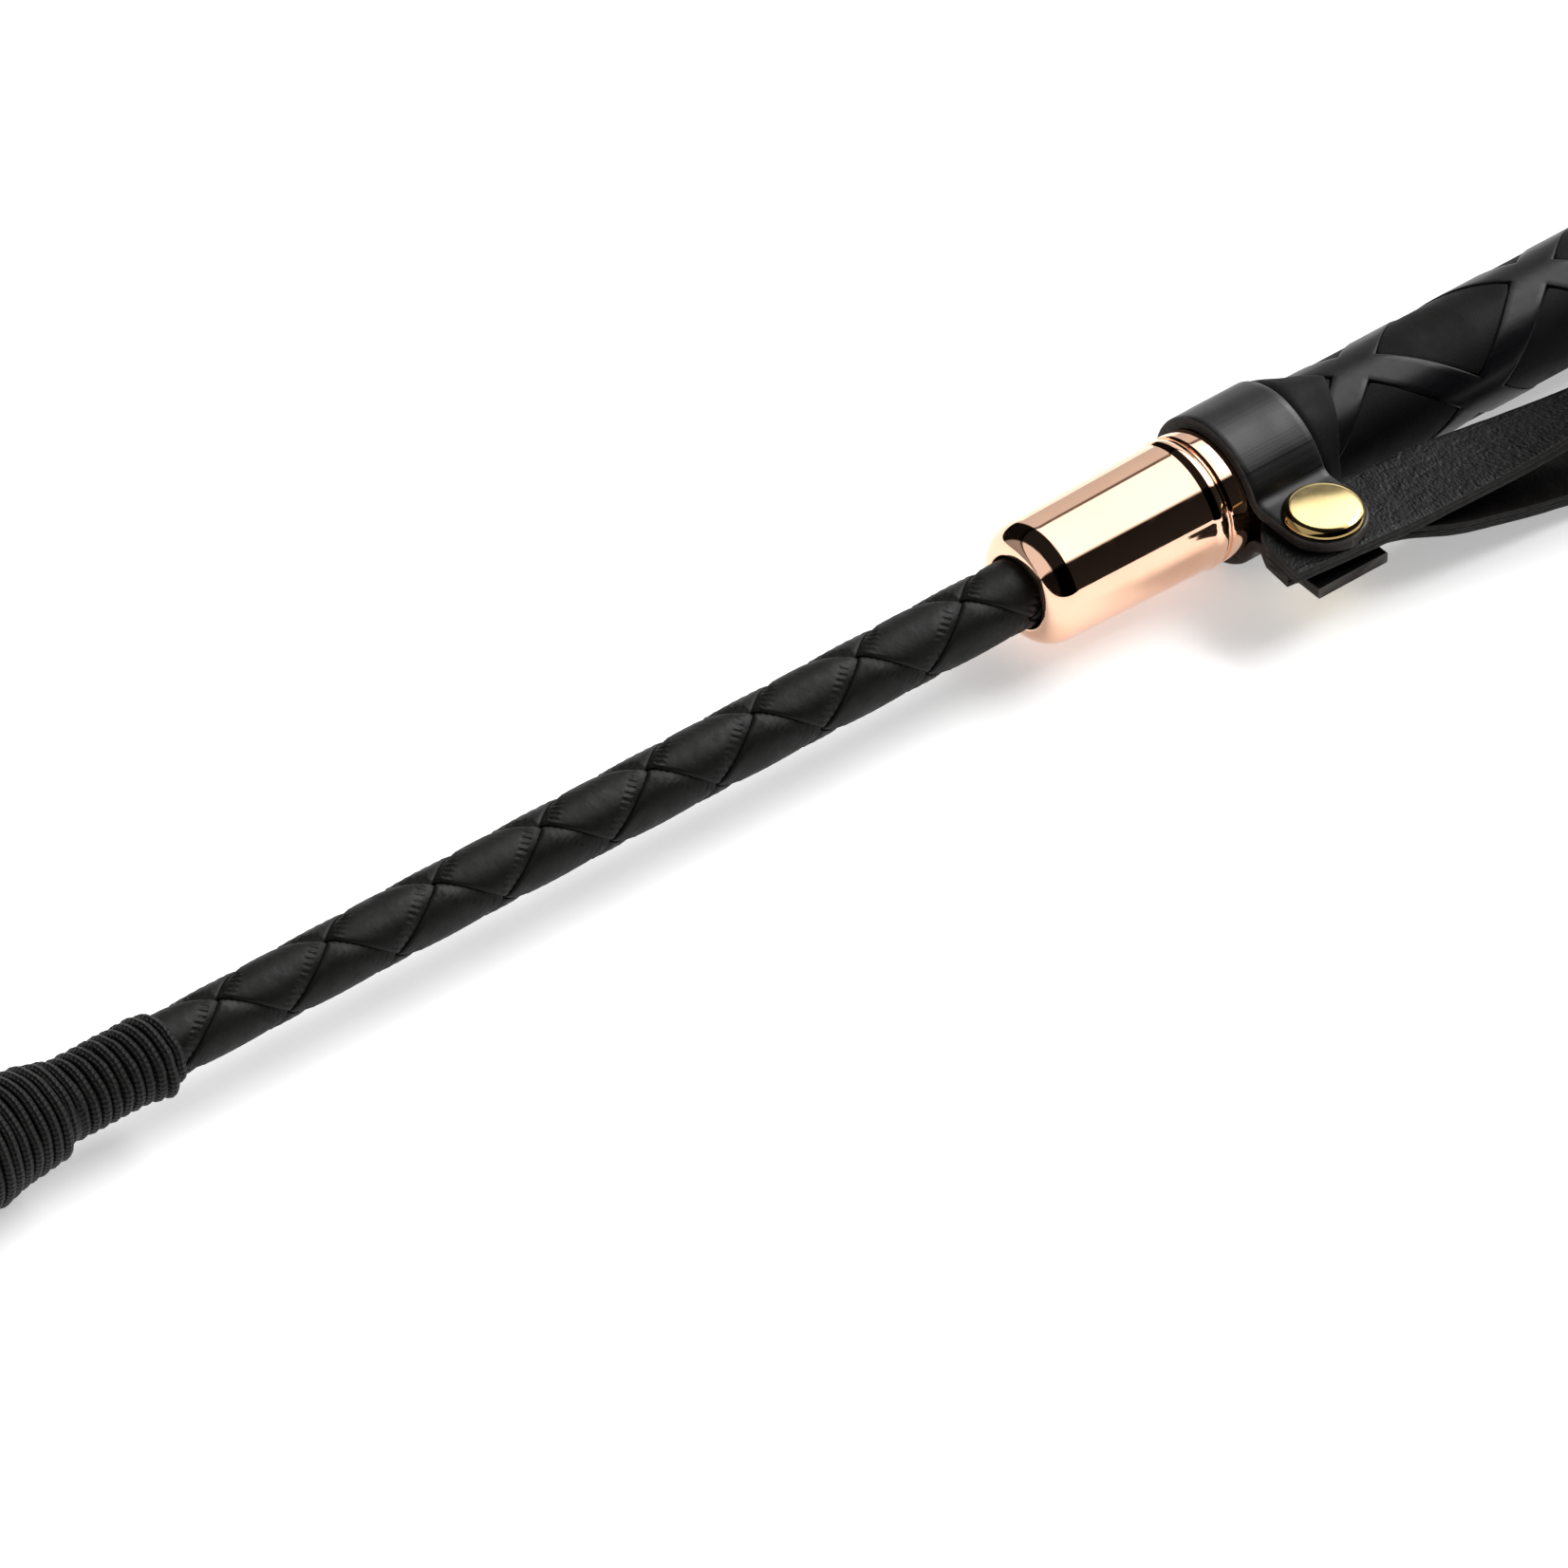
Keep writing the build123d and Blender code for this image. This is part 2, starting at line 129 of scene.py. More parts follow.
def object_from_bmesh(name, shape, materials, sharp=35.0):
    """A piece from a bmesh in millimetres, smooth but for creases over sharp degrees."""
    bmesh.ops.recalc_face_normals(shape, faces=shape.faces)
    mesh = bpy.data.meshes.new(name)
    shape.to_mesh(mesh)
    shape.free()
    mesh.transform(Matrix.Scale(MM, 4))
    mesh.shade_smooth()
    mesh.set_sharp_from_angle(angle=math.radians(sharp))
    for material in materials:
        mesh.materials.append(material)
    piece = bpy.data.objects.new(name, mesh)
    bpy.context.scene.collection.objects.link(piece)
    return piece


def loft_bmesh(rings, uvs=None, wear=None, closed=False, edge_columns=()):
    """Skin over rings of points. uvs(ring, column) is in metres, wear is one number for each column.

    The ends are capped unless the path is closed. Columns in edge_columns take the second material.
    """
    shape = bmesh.new()
    count = len(rings[0])
    uv_layer = shape.loops.layers.uv.new("UVMap") if uvs else None
    wear_layer = shape.verts.layers.float.new("wear") if wear else None
    grid = [[shape.verts.new(point) for point in ring] for ring in rings]
    steps = len(rings) if closed else len(rings) - 1
    for i in range(steps):
        this, following = grid[i], grid[(i + 1) % len(rings)]
        for j in range(count):
            k = (j + 1) % count
            face = shape.faces.new((this[j], following[j], following[k], this[k]))
            if j in edge_columns:
                face.material_index = 1
            if uv_layer:
                corners = ((i, j), (i + 1, j), (i + 1, j + 1), (i, j + 1))
                for loop, corner in zip(face.loops, corners):
                    loop[uv_layer].uv = uvs(*corner)
    if wear_layer:
        for ring in grid:
            for vertex, amount in zip(ring, wear):
                vertex[wear_layer] = amount
    if not closed:
        for end in (grid[0], grid[-1]):
            cap = shape.faces.new(end)
            if edge_columns:
                cap.material_index = 1
    return shape


def cut_square(shape, start, end, capped=True):
    """Cuts a skin off square at x = start and x = end, and caps it unless it is to stay open."""
    for place, side in ((start, -1), (end, 1)):
        geometry = shape.verts[:] + shape.edges[:] + shape.faces[:]
        bmesh.ops.bisect_plane(
            shape, geom=geometry, plane_co=(place, 0, 0), plane_no=(side, 0, 0), clear_outer=True,
        )
        open_edges = [edge for edge in shape.edges if edge.is_boundary]
        if capped and open_edges:
            bmesh.ops.holes_fill(shape, edges=open_edges, sides=0)


def lathe(name, profile, material, steps=160, sharp=35.0):
    """Solid turned about the X axis from a closed outline of (x, radius) points."""
    rings = []
    for i in range(steps):
        angle = 2 * math.pi * i / steps
        rings.append([around(x, r, angle) for x, r in profile])
    return object_from_bmesh(name, loft_bmesh(rings, closed=True), [material], sharp)


def arc(centre, radius, first, last, steps):
    """Points of an arc, with its angles in degrees."""
    angles = [math.radians(mix(first, last, i / steps)) for i in range(steps + 1)]
    return [(centre[0] + radius * math.cos(a), centre[1] + radius * math.sin(a)) for a in angles]


def rounded_path(points, radii, step):
    """Straight runs joined by tangent arcs, as evenly spaced points."""
    path = [Vector(points[0])]
    for before, corner, after, radius in zip(points, points[1:], points[2:], radii):
        corner = Vector(corner)
        back = (Vector(before) - corner).normalized()
        on = (Vector(after) - corner).normalized()
        half_turn = (math.pi - back.angle(on)) / 2
        reach = radius * math.tan(half_turn)
        first, last = corner + back * reach, corner + on * reach
        centre = corner + (back + on).normalized() * (radius / math.cos(half_turn))
        count = max(2, int(2 * half_turn * radius / step) + 1)
        for i in range(count + 1):
            share = i / count
            path.append(centre + (first - centre).slerp(last - centre, share) * radius)
    path.append(Vector(points[-1]))
    even = [path[0]]
    for a, b in zip(path, path[1:]):
        pieces = max(1, round((b - a).length / step))
        even += [a.lerp(b, (i + 1) / pieces) for i in range(pieces)]
    return even


def strip_section(low, high, thickness, bevel, across=14):
    """Cut through a flat leather strip: (across, up, wear) points, and the columns of its two cut edges."""
    half = thickness / 2
    top = [(mix(low + bevel, high - bevel, i / across), half, 0.0) for i in range(across + 1)]
    right = [
        (high - bevel * 0.3, half - bevel * 0.3, 1.0), (high, half - bevel, 0.35), (high, 0, 0.1),
        (high, bevel - half, 0.35), (high - bevel * 0.3, bevel * 0.3 - half, 1.0),
    ]
    bottom = [(a, -half, 0.0) for a, _, _ in reversed(top)]
    left = [(low + high - a, up, worn) for a, up, worn in reversed(right)]
    section = top + right + bottom + left
    first = len(top)
    second = first + len(right) + len(bottom)
    edges = set(range(first, first + len(right) - 1)) | set(range(second, second + len(left) - 1))
    return section, edges


def leather_strip(name, path, section_at, place_at, materials, sharp=45.0, half_width_at=None):
    """A flat strip laid along a path of flat points.

    section_at(point, upper) is the cut through the strip, where upper says that it is past half way, and
    place_at(point, normal, upper, across, up) puts one point of that cut in the row frame.
    """
    rings, run = [], [0.0]
    for i, point in enumerate(path):
        before, after = path[max(0, i - 1)], path[min(len(path) - 1, i + 1)]
        along = (after - before).normalized()
        normal = Vector((along.y, -along.x))
        upper = i > len(path) / 2
        section, edges = section_at(point, upper)
        rings.append([place_at(point, normal, upper, across, up) for across, up, _ in section])
        run.append(run[-1] + (after - point).length)
    wear = [worn for _, _, worn in section]
    columns = [across for across, _, _ in section] + [section[0][0]]

    def uvs(ring, column):
        scale = half_width_at(path[ring].x) / abs(columns[0]) if half_width_at else 1.0
        return run[ring] * MM, columns[column] * scale * MM

    shape = loft_bmesh(rings, uvs=uvs, wear=wear, edge_columns=edges)
    return object_from_bmesh(name, shape, materials, sharp)


# ---------------- material helpers
class Nodes:
    """A node tree, with short ways to add to it."""

    def __init__(self, tree):
        self.tree = tree

    def add(self, kind, **settings):
        node = self.tree.nodes.new(kind)
        for key, value in settings.items():
            setattr(node, key, value)
        return node

    def set(self, node, socket, value):
        node.inputs[socket].default_value = value

    def link(self, source, node, socket):
        self.tree.links.new(source, node.inputs[socket])

    def feed(self, value, node, socket):
        """Sets a socket to a number or a colour, or links another socket to it."""
        if isinstance(value, tuple):
            self.set(node, socket, (*value, 1))
        elif isinstance(value, (int, float)):
            self.set(node, socket, value)
        else:
            self.link(value, node, socket)

    def maths(self, operation, *values):
        node = self.add("ShaderNodeMath", operation=operation)
        for socket, value in enumerate(values):
            self.feed(value, node, socket)
        return node.outputs["Value"]

    def ramp(self, place, stops):
        """A grey colour ramp from (place, level) pairs."""
        node = self.add("ShaderNodeValToRGB")
        elements = node.color_ramp.elements
        elements.remove(elements[1])
        for index, (position, level) in enumerate(stops):
            stop = elements[0] if index == 0 else elements.new(position)
            stop.position = position
            stop.color = (level, level, level, 1)
        self.link(place, node, 0)
        return node.outputs["Color"]


class Shader(Nodes):
    """A Principled material and the few node patterns that the materials share."""

    def __init__(self, name, colour, roughness, metallic=0.0, specular=0.5, coat=0.0, coat_roughness=0.1):
        self.material = bpy.data.materials.new(name)
        self.material.use_nodes = True
        super().__init__(self.material.node_tree)
        self.surface = self.tree.nodes["Principled BSDF"]
        values = {
            "Base Color": colour, "Roughness": roughness, "Metallic": metallic,
            "Specular IOR Level": specular, "Coat Weight": coat, "Coat Roughness": coat_roughness,
        }
        for socket, value in values.items():
            self.feed(value, self.surface, socket)
        self.place = self.add("ShaderNodeTexCoord").outputs["Object"]

    def use_uv(self):
        """Takes the strip's own length and width as the coordinates, so the grain follows a bend."""
        self.place = self.add("ShaderNodeTexCoord").outputs["UV"]

    def pattern(self, kind, output, size, stretch, inputs=(), **settings):
        """A procedural pattern with features of about size millimetres, on stretched coordinates."""
        node = self.add(kind, **settings)
        place = self.place
        if stretch:
            mapping = self.add("ShaderNodeMapping")
            self.set(mapping, "Scale", stretch)
            self.link(place, mapping, "Vector")
            place = mapping.outputs["Vector"]
        for socket, value in (("Scale", 1 / (size * MM)), *inputs):
            self.set(node, socket, value)
        self.link(place, node, "Vector")
        return node.outputs[output]

    def noise(self, size, detail=3.0, stretch=None):
        return self.pattern("ShaderNodeTexNoise", "Fac", size, stretch, [("Detail", detail)])

    def cells(self, size):
        """Distance from the middles of random pebbles."""
        return self.pattern("ShaderNodeTexVoronoi", "Distance", size, None, feature="SMOOTH_F1")

    def attribute(self, name):
        return self.add("ShaderNodeAttribute", attribute_name=name).outputs["Fac"]

    def uv_axes(self):
        """The two parts of the UV place."""
        split = self.add("ShaderNodeSeparateXYZ")
        self.link(self.add("ShaderNodeTexCoord").outputs["UV"], split, "Vector")
        return split.outputs["X"], split.outputs["Y"]

    def remap(self, value, low, high, to_low=0.0, to_high=1.0):
        """Carries low to high over to the second pair, smoothly, and holds it beyond them."""
        node = self.add("ShaderNodeMapRange", interpolation_type="SMOOTHSTEP")
        self.link(value, node, "Value")
        sockets = ("From Min", "From Max", "To Min", "To Max")
        for socket, number in zip(sockets, (low, high, to_low, to_high)):
            self.set(node, socket, number)
        return node.outputs["Result"]

    def blend(self, share, first, second):
        """Mixes two colours, each a tuple or a socket."""
        node = self.add("ShaderNodeMix", data_type="RGBA")
        self.link(share, node, "Factor")
        self.feed(first, node, 6)
        self.feed(second, node, 7)
        return node.outputs[2]

    def two_tone(self, pattern, low, high, first, second):
        """Goes from one colour to the other as the pattern goes from low to high."""
        return self.blend(self.remap(pattern, low, high), first, second)

    def rubbed(self, tone, colour, most):
        """The tone, with worn edges that take up to most of another colour."""
        return self.blend(self.remap(self.attribute("wear"), 0.0, 1.0, 0.0, most), tone, colour)

    def bump(self, height, depth, below=None):
        """A bump of about depth millimetres, on top of an earlier one."""
        node = self.add("ShaderNodeBump")
        self.set(node, "Strength", 1.0)
        self.set(node, "Distance", depth * MM)
        self.link(height, node, "Height")
        if below is not None:
            self.link(below, node, "Normal")
        return node.outputs["Normal"]

    def finish(self, colour=None, roughness=None, normal=None):
        for source, socket in ((colour, "Base Color"), (roughness, "Roughness"), (normal, "Normal")):
            if source is not None:
                self.link(source, self.surface, socket)
        return self.material


def leather(name, colour, worn, roughness, grain, grain_depth, specular, crease_depth=0.0):
    """Dyed leather: uneven dye, pebble grain with painted shade in its valleys, fine creases and paler worn
    edges.
    """
    shader = Shader(name, colour, roughness, specular=specular)
    shader.use_uv()
    dark = tuple(c * 0.6 for c in colour)
    dyed = shader.two_tone(shader.noise(6.0, 4.0), 0.35, 0.65, dark, colour)
    pebbles = shader.cells(grain)
    fine = shader.noise(grain * 0.45, 4.0)
    # Painted shade: the pebbles' valleys are painted darker, up to 45% of the way to the dark tone.
    painted_valley_shade = shader.remap(pebbles, 0.25, 0.8, 0.0, 0.45)
    dyed = shader.blend(painted_valley_shade, dyed, dark)
    edge = shader.attribute("wear")
    scuffed = shader.maths("MULTIPLY", edge, shader.remap(shader.noise(0.7, 3.0), 0.3, 0.6, 0.35, 1.0))
    dyed = shader.blend(scuffed, dyed, worn)
    rough = shader.remap(shader.noise(2.2, 3.0), 0.3, 0.7, roughness - 0.06, roughness + 0.08)
    normal = shader.bump(shader.maths("SUBTRACT", 1.0, pebbles), grain_depth)
    normal = shader.bump(fine, grain_depth * 0.5, normal)
    if crease_depth:
        folds = shader.noise(1.3, 2.0, (0.45, 1.6, 1.0))
        normal = shader.bump(shader.remap(folds, 0.42, 0.5), crease_depth, normal)
    return shader.finish(dyed, rough, normal)


def cut_edge(name, colour, pale):
    """Raw cut edge of leather: fibrous, matte, paler where the dye has rubbed off."""
    shader = Shader(name, colour, 0.75, specular=0.25)
    shader.use_uv()
    fibres = shader.noise(0.25, 4.0, (0.3, 1.0, 1.0))
    blotches = shader.noise(1.8, 3.0)
    dyed = shader.two_tone(blotches, 0.35, 0.7, tuple(c * 0.55 for c in colour), colour)
    worn = shader.maths("MULTIPLY", shader.attribute("wear"), shader.remap(fibres, 0.3, 0.6, 0.3, 1.0))
    dyed = shader.blend(worn, dyed, pale)
    return shader.finish(dyed, shader.remap(fibres, 0.3, 0.7, 0.62, 0.85), shader.bump(fibres, 0.05))


def polished(name, colour, tarnish_and_rim_shade, roughness):
    """Polished plated metal: faint drawn lines, slight haze, darker tone in patches, and painted shade where
    the wear attribute marks a rim.
    """
    shader = Shader(name, colour, roughness, metallic=1.0)
    haze = shader.noise(9.0, 4.0)
    tone = shader.blend(shader.remap(haze, 0.45, 0.75, 0.0, 0.35), colour, tarnish_and_rim_shade)
    # Painted shade: where a piece carries the wear attribute, as the rivets' rims do, the colour is painted
    # darker.
    tone = shader.blend(shader.attribute("wear"), tone, tuple(c * 0.55 for c in tarnish_and_rim_shade))
    smears = shader.noise(2.5, 5.0)
    rough = shader.remap(smears, 0.35, 0.75, roughness, roughness + 0.06)
    lines = shader.noise(0.5, 2.0, (6.0, 0.4, 0.4))
    return shader.finish(tone, rough, shader.bump(lines, 0.0012))


def plait_leather():
    """Smooth satin thong leather, with puckers beside the edges where one thong dives under another."""
    shader = Shader("plait_leather", (0.005, 0.0048, 0.0042), 0.5, specular=0.14)
    cloudy = shader.noise(5.0, 4.0)
    dyed = shader.two_tone(cloudy, 0.35, 0.65, (0.0038, 0.0036, 0.0031), (0.0056, 0.0053, 0.0046))
    dyed = shader.rubbed(dyed, (0.0085, 0.0080, 0.0070), 0.5)
    across, along = shader.uv_axes()
    near_edge = shader.maths("PINGPONG", along, 0.5)
    inside = shader.remap(near_edge, 0.05, 0.08)
    outside = shader.remap(near_edge, 0.14, 0.20, 1.0, 0.0)
    row = shader.maths("MULTIPLY", inside, outside)
    wave = shader.maths("SINE", shader.maths("MULTIPLY", across, PUCKERS_PER_THONG * 2 * math.pi))
    uneven = shader.remap(shader.noise(1.6, 2.0), 0.35, 0.6, 0.25, 1.0)
    strength = shader.maths("MULTIPLY", uneven, shader.remap(across, 4.0, 6.0, 1.0, 0.25))
    puckers = shader.maths("MULTIPLY", shader.maths("MULTIPLY", wave, row), strength)
    fine = shader.noise(0.16, 4.0)
    rough = shader.remap(shader.noise(1.8, 3.0), 0.3, 0.7, 0.44, 0.56)
    normal = shader.bump(fine, 0.012)
    normal = shader.bump(shader.noise(1.1, 3.0), 0.05, normal)
    normal = shader.bump(puckers, 0.05, normal)
    return shader.finish(dyed, rough, normal)


def thread_material():
    """Waxed braided cord: small crossed strands with painted shade in their valleys, fine fibres, paler outer
    crests.
    """
    shader = Shader("whipping_thread", (0.003, 0.0028, 0.0026), 0.5, specular=0.20)
    length, girth = shader.uv_axes()
    along = shader.maths("MULTIPLY", length, 2 * math.pi / CORD_STITCH)
    about = shader.maths("MULTIPLY", girth, 8 * math.pi)
    first = shader.maths("SINE", shader.maths("ADD", along, about))
    second = shader.maths("SINE", shader.maths("SUBTRACT", along, about))
    strands = shader.remap(shader.maths("MULTIPLY", first, second), -0.8, 0.8)
    fibres = shader.noise(0.12, 4.0)
    tufts = shader.noise(0.8, 3.0)
    # Painted shade: the strands' colour follows their relief, dark in the valleys between them and paler on
    # their crests.
    tone = shader.blend(strands, (0.0012, 0.0011, 0.0010), (0.0060, 0.0056, 0.0051))
    tone = shader.blend(shader.remap(tufts, 0.4, 0.7, 0.0, 0.5), tone, (0.0065, 0.0059, 0.0053))
    # The crests on the outer face of each turn are made paler still.
    pale_outer_crests = shader.maths("MULTIPLY", shader.attribute("wear"), strands)
    tone = shader.blend(shader.remap(pale_outer_crests, 0.3, 1.0, 0.0, 0.6), tone, (0.009, 0.0086, 0.0082))
    rough = shader.remap(fibres, 0.3, 0.7, 0.42, 0.65)
    normal = shader.bump(fibres, 0.04)
    return shader.finish(tone, rough, shader.bump(strands, 0.18, normal))


def gloss_material():
    """Glossy moulded sleeve, black with a plum cast, with hairline scratches."""
    plum = (0.0032, 0.0024, 0.0034)
    shader = Shader("grip_gloss", plum, 0.34, specular=0.155, coat=0.035, coat_roughness=0.2)
    swirl = shader.noise(12.0, 3.0)
    tone = shader.two_tone(swirl, 0.3, 0.7, (0.0024, 0.0019, 0.0026), (0.0042, 0.0032, 0.0044))
    scratches = shader.noise(0.6, 2.0, (0.12, 1.4, 1.4))
    rough = shader.remap(scratches, 0.35, 0.75, 0.32, 0.39)
    ripples = shader.noise(4.0, 2.0)
    normal = shader.bump(ripples, 0.05)
    normal = shader.bump(scratches, 0.0008, normal)
    return shader.finish(tone, rough, normal)


def matte_material(name, colour):
    """Matte rubbery leather with a very fine, even grain."""
    shader = Shader(name, colour, 0.62, specular=0.10)
    grain = shader.cells(0.16)
    blotches = shader.noise(4.0, 4.0)
    tone = shader.two_tone(blotches, 0.35, 0.65, tuple(c * 0.7 for c in colour), colour)
    tone = shader.rubbed(tone, (0.010, 0.0096, 0.0090), 0.6)
    rough = shader.remap(blotches, 0.3, 0.7, 0.55, 0.7)
    return shader.finish(tone, rough, shader.bump(grain, 0.02))


def drawn_out(name, pattern, dark, pale, rough, depth):
    """A plain inner material, whose tone, roughness and relief follow one noise along the crop.

    pattern is the noise's size, its detail, its stretch along X, and where its ramp starts.
    """
    size, detail, stretch, low = pattern
    shader = Shader(name, pale, rough[1])
    lines = shader.noise(size, detail, (stretch, 1.0, 1.0))
    tone = shader.two_tone(lines, low, 1 - low, dark, pale)
    return shader.finish(tone, shader.remap(lines, 0.3, 0.7, *rough), shader.bump(lines, depth))


def wood_material():
    """Turned dowel: growth rings stretched along the grain."""
    grain = (1.2, 5.0, 0.06, 0.35)
    return drawn_out("grip_core_wood", grain, (0.32, 0.19, 0.1), (0.58, 0.41, 0.25), (0.5, 0.7), 0.05)


def rod_material():
    """Pultruded glass-fibre rod: long pale fibres in resin."""
    fibres = (0.3, 4.0, 0.02, 0.35)
    return drawn_out("glass_fibre", fibres, (0.5, 0.5, 0.42), (0.78, 0.77, 0.7), (0.22, 0.4), 0.02)


def bush_material():
    """Moulded black plastic with a light spark texture."""
    spark = (0.3, 4.0, 1.0, 0.3)
    return drawn_out("bush_plastic", spark, (0.02, 0.02, 0.02), (0.04, 0.04, 0.042), (0.42, 0.6), 0.03)


def filler_material():
    """Packed cord filler: strands that run along the shaft."""
    strands = (0.6, 3.0, 0.15, 0.3)
    return drawn_out("filler_cord", strands, (0.015, 0.015, 0.015), (0.05, 0.048, 0.045), (0.7, 0.9), 0.15)


# ---------------- shaft plait
THONGS_EACH_WAY = 2
PLAIT_PITCH = 28.13
THONG_THICKNESS = 0.42
THONG_GAP = 0.018           # half the gap between two thongs, as a share of their spacing
DIVE = 0.10                 # share of the spacing over which a thong goes under the next one
ROUNDING = 0.05             # share of the spacing over which a thong's edges are rounded
CROWN = 0.13                # height of the pillow that each crossing makes
TIP_R, BUTT_R = 3.56, 4.0
PLAIT_SINK = 0.12           # how far the whole plait is pulled tight
PUCKERS_PER_THONG = 12.0
PLAIT_TURN = 10.2           # degrees that place the plait's pattern round the shaft
PLAIT_SHIFT = -3.4          # and millimetres that place it along the shaft


def plait_radius(x):
    """Outer radius of the plait, which thickens evenly towards the ferrule."""
    return mix(TIP_R, BUTT_R, (x - PLAIT_START) / (PLAIT_END - PLAIT_START))


def over_under(along, number):
    """1 where the thong lies on top, -1 where it lies below, with a steep ramp between."""
    cell = math.floor(along + 0.5)
    level_before = 1 if (cell - 1 + number) % 2 == 0 else -1
    ramp = smoothstep(-DIVE / 2, DIVE / 2, along - cell)
    return mix(level_before, -level_before, ramp)


def pillow(share):
    """1 in the middle of a crossing, 0 at its edges."""
    return 1 - abs(2 * (share % 1) - 1) ** 2.4


def thong(number, material):
    """One thong of a plain plait. The first two turn one way, the others the other way."""
    hand = 1 if number > THONGS_EACH_WAY else -1
    lane = (number - 1) % THONGS_EACH_WAY
    turns_per_cell = 1 / (2 * THONGS_EACH_WAY)
    cell_length = PLAIT_PITCH * turns_per_cell
    margin = cell_length * 1.2
    first = math.floor((PLAIT_START - margin) / cell_length)
    last = math.ceil((PLAIT_END + margin) / cell_length)
    stations = {i / 12 for i in range(12)}
    for past in (DIVE * 0.25, DIVE * 0.5, 0.04 + DIVE):
        stations |= {past, 1 - past}
    rim = [THONG_GAP, THONG_GAP + 0.015, THONG_GAP + ROUNDING]
    shares = rim + [0.14 + 0.09 * i for i in range(9)] + [1 - share for share in reversed(rim)]
    rings, lengths = [], []
    for cell in range(first, last):
        for part in sorted(stations):
            along = cell + part
            top, under = [], []
            for share in shares:
                mine = lane + share
                # The two families of lines: mine runs across this thong, other along it.
                other = along + mine
                x = cell_length * (other - mine) + PLAIT_SHIFT
                angle = 2 * math.pi * (mine + other) * turns_per_cell * hand + math.radians(PLAIT_TURN)
                level = over_under(other, lane + (0 if hand > 0 else 1))
                edge = min(share - THONG_GAP, 1 - THONG_GAP - share) / ROUNDING
                round_off = 1 - math.sqrt(max(0.0, 1 - (1 - min(1.0, edge)) ** 2))
                middle = plait_radius(x) - THONG_THICKNESS + 0.5 * (THONG_THICKNESS + 0.02) * level
                lift = CROWN * pillow(share) * pillow(other) * max(0.0, level) - PLAIT_SINK
                half = THONG_THICKNESS / 2 * (1 - 0.8 * round_off)
                for side, row in ((1, top), (-1, under)):
                    row.append(around(x, middle + side * half + lift, angle))
            rings.append(top + under[::-1])
            lengths.append(along)
    count = len(shares)
    columns = shares + shares[::-1] + [shares[0]]

    def uvs(ring, column):
        # The first two thongs lie ten units further on, where the puckers of the material are fainter.
        share = columns[column]
        return share + (0 if hand > 0 else 10), lengths[ring] + lane + share

    wear = [1.0 if index in (0, 1, count - 2, count - 1) else 0.0 for index in range(count)]
    shape = loft_bmesh(rings, uvs=uvs, wear=wear + wear[::-1])
    cut_square(shape, PLAIT_START + 0.3, PLAIT_END - 0.1)
    return object_from_bmesh(f"plait_thong_{number}", shape, [material], 60.0)


# ---------------- whippings
THREAD_PITCH = 1.4
THREAD_R = 0.72
THREAD_WIDE, THREAD_HIGH = 0.97, 0.94   # how far a turn is squeezed, along and across the crop
CORD_STITCH = 1.05
THREAD_STEP_ANGLE = 3.2
KNOT_X, KNOT_ANGLE, KNOT_HEIGHT = -230.2, 215.0, 0.65


def knot_lift(x, angle):
    """Swelling over the tucked end of the thread."""
    turned = (angle - math.radians(KNOT_ANGLE) + math.pi) % (2 * math.pi) - math.pi
    return KNOT_HEIGHT * math.exp(-((x - KNOT_X) / 1.1) ** 2 - (turned / 0.55) ** 2)


def table(value, points):
    """Straight-line reading of a table of (place, number) points."""
    if value <= points[0][0]:
        return points[0][1]
    for (low, first), (high, second) in zip(points, points[1:]):
        if value <= high:
            return mix(first, second, (value - low) / (high - low))
    return points[-1][1]


def thin_radius(x, angle):
    """Outer radius of the turns on the plait's end; the last turn bites into the leather."""
    return 4.42 - 0.5 * smoothstep(THIN_END - 2.6, THIN_END - 0.6, x) + knot_lift(x, angle)


# Outer radius of the thick whipping against the distance from its step, over and under the crop. Both
# end in the same swelling.
SWELL = [(8.4, 6.1), (11.5, 6.9), (14.0, 6.5), (16.8, 5.0)]
STEP_OVER = [(-1.6, 4.4), (0, 4.7), (1.5, 5.1), (3.2, 5.5), (4.8, 5.7)] + SWELL
STEP_UNDER = [(0.6, 4.3), (1.4, 4.5), (2.6, 5.45), (5.1, 5.8)] + SWELL


def thick_radius(x, angle):
    """Outer radius of the turns over the keeper root, with a steeper step on the underside."""
    away = THIN_START - x
    underside = 0.5 + 0.5 * math.cos(angle - math.radians(KNOT_ANGLE))
    return mix(table(away, STEP_OVER), table(away, STEP_UNDER), underside)


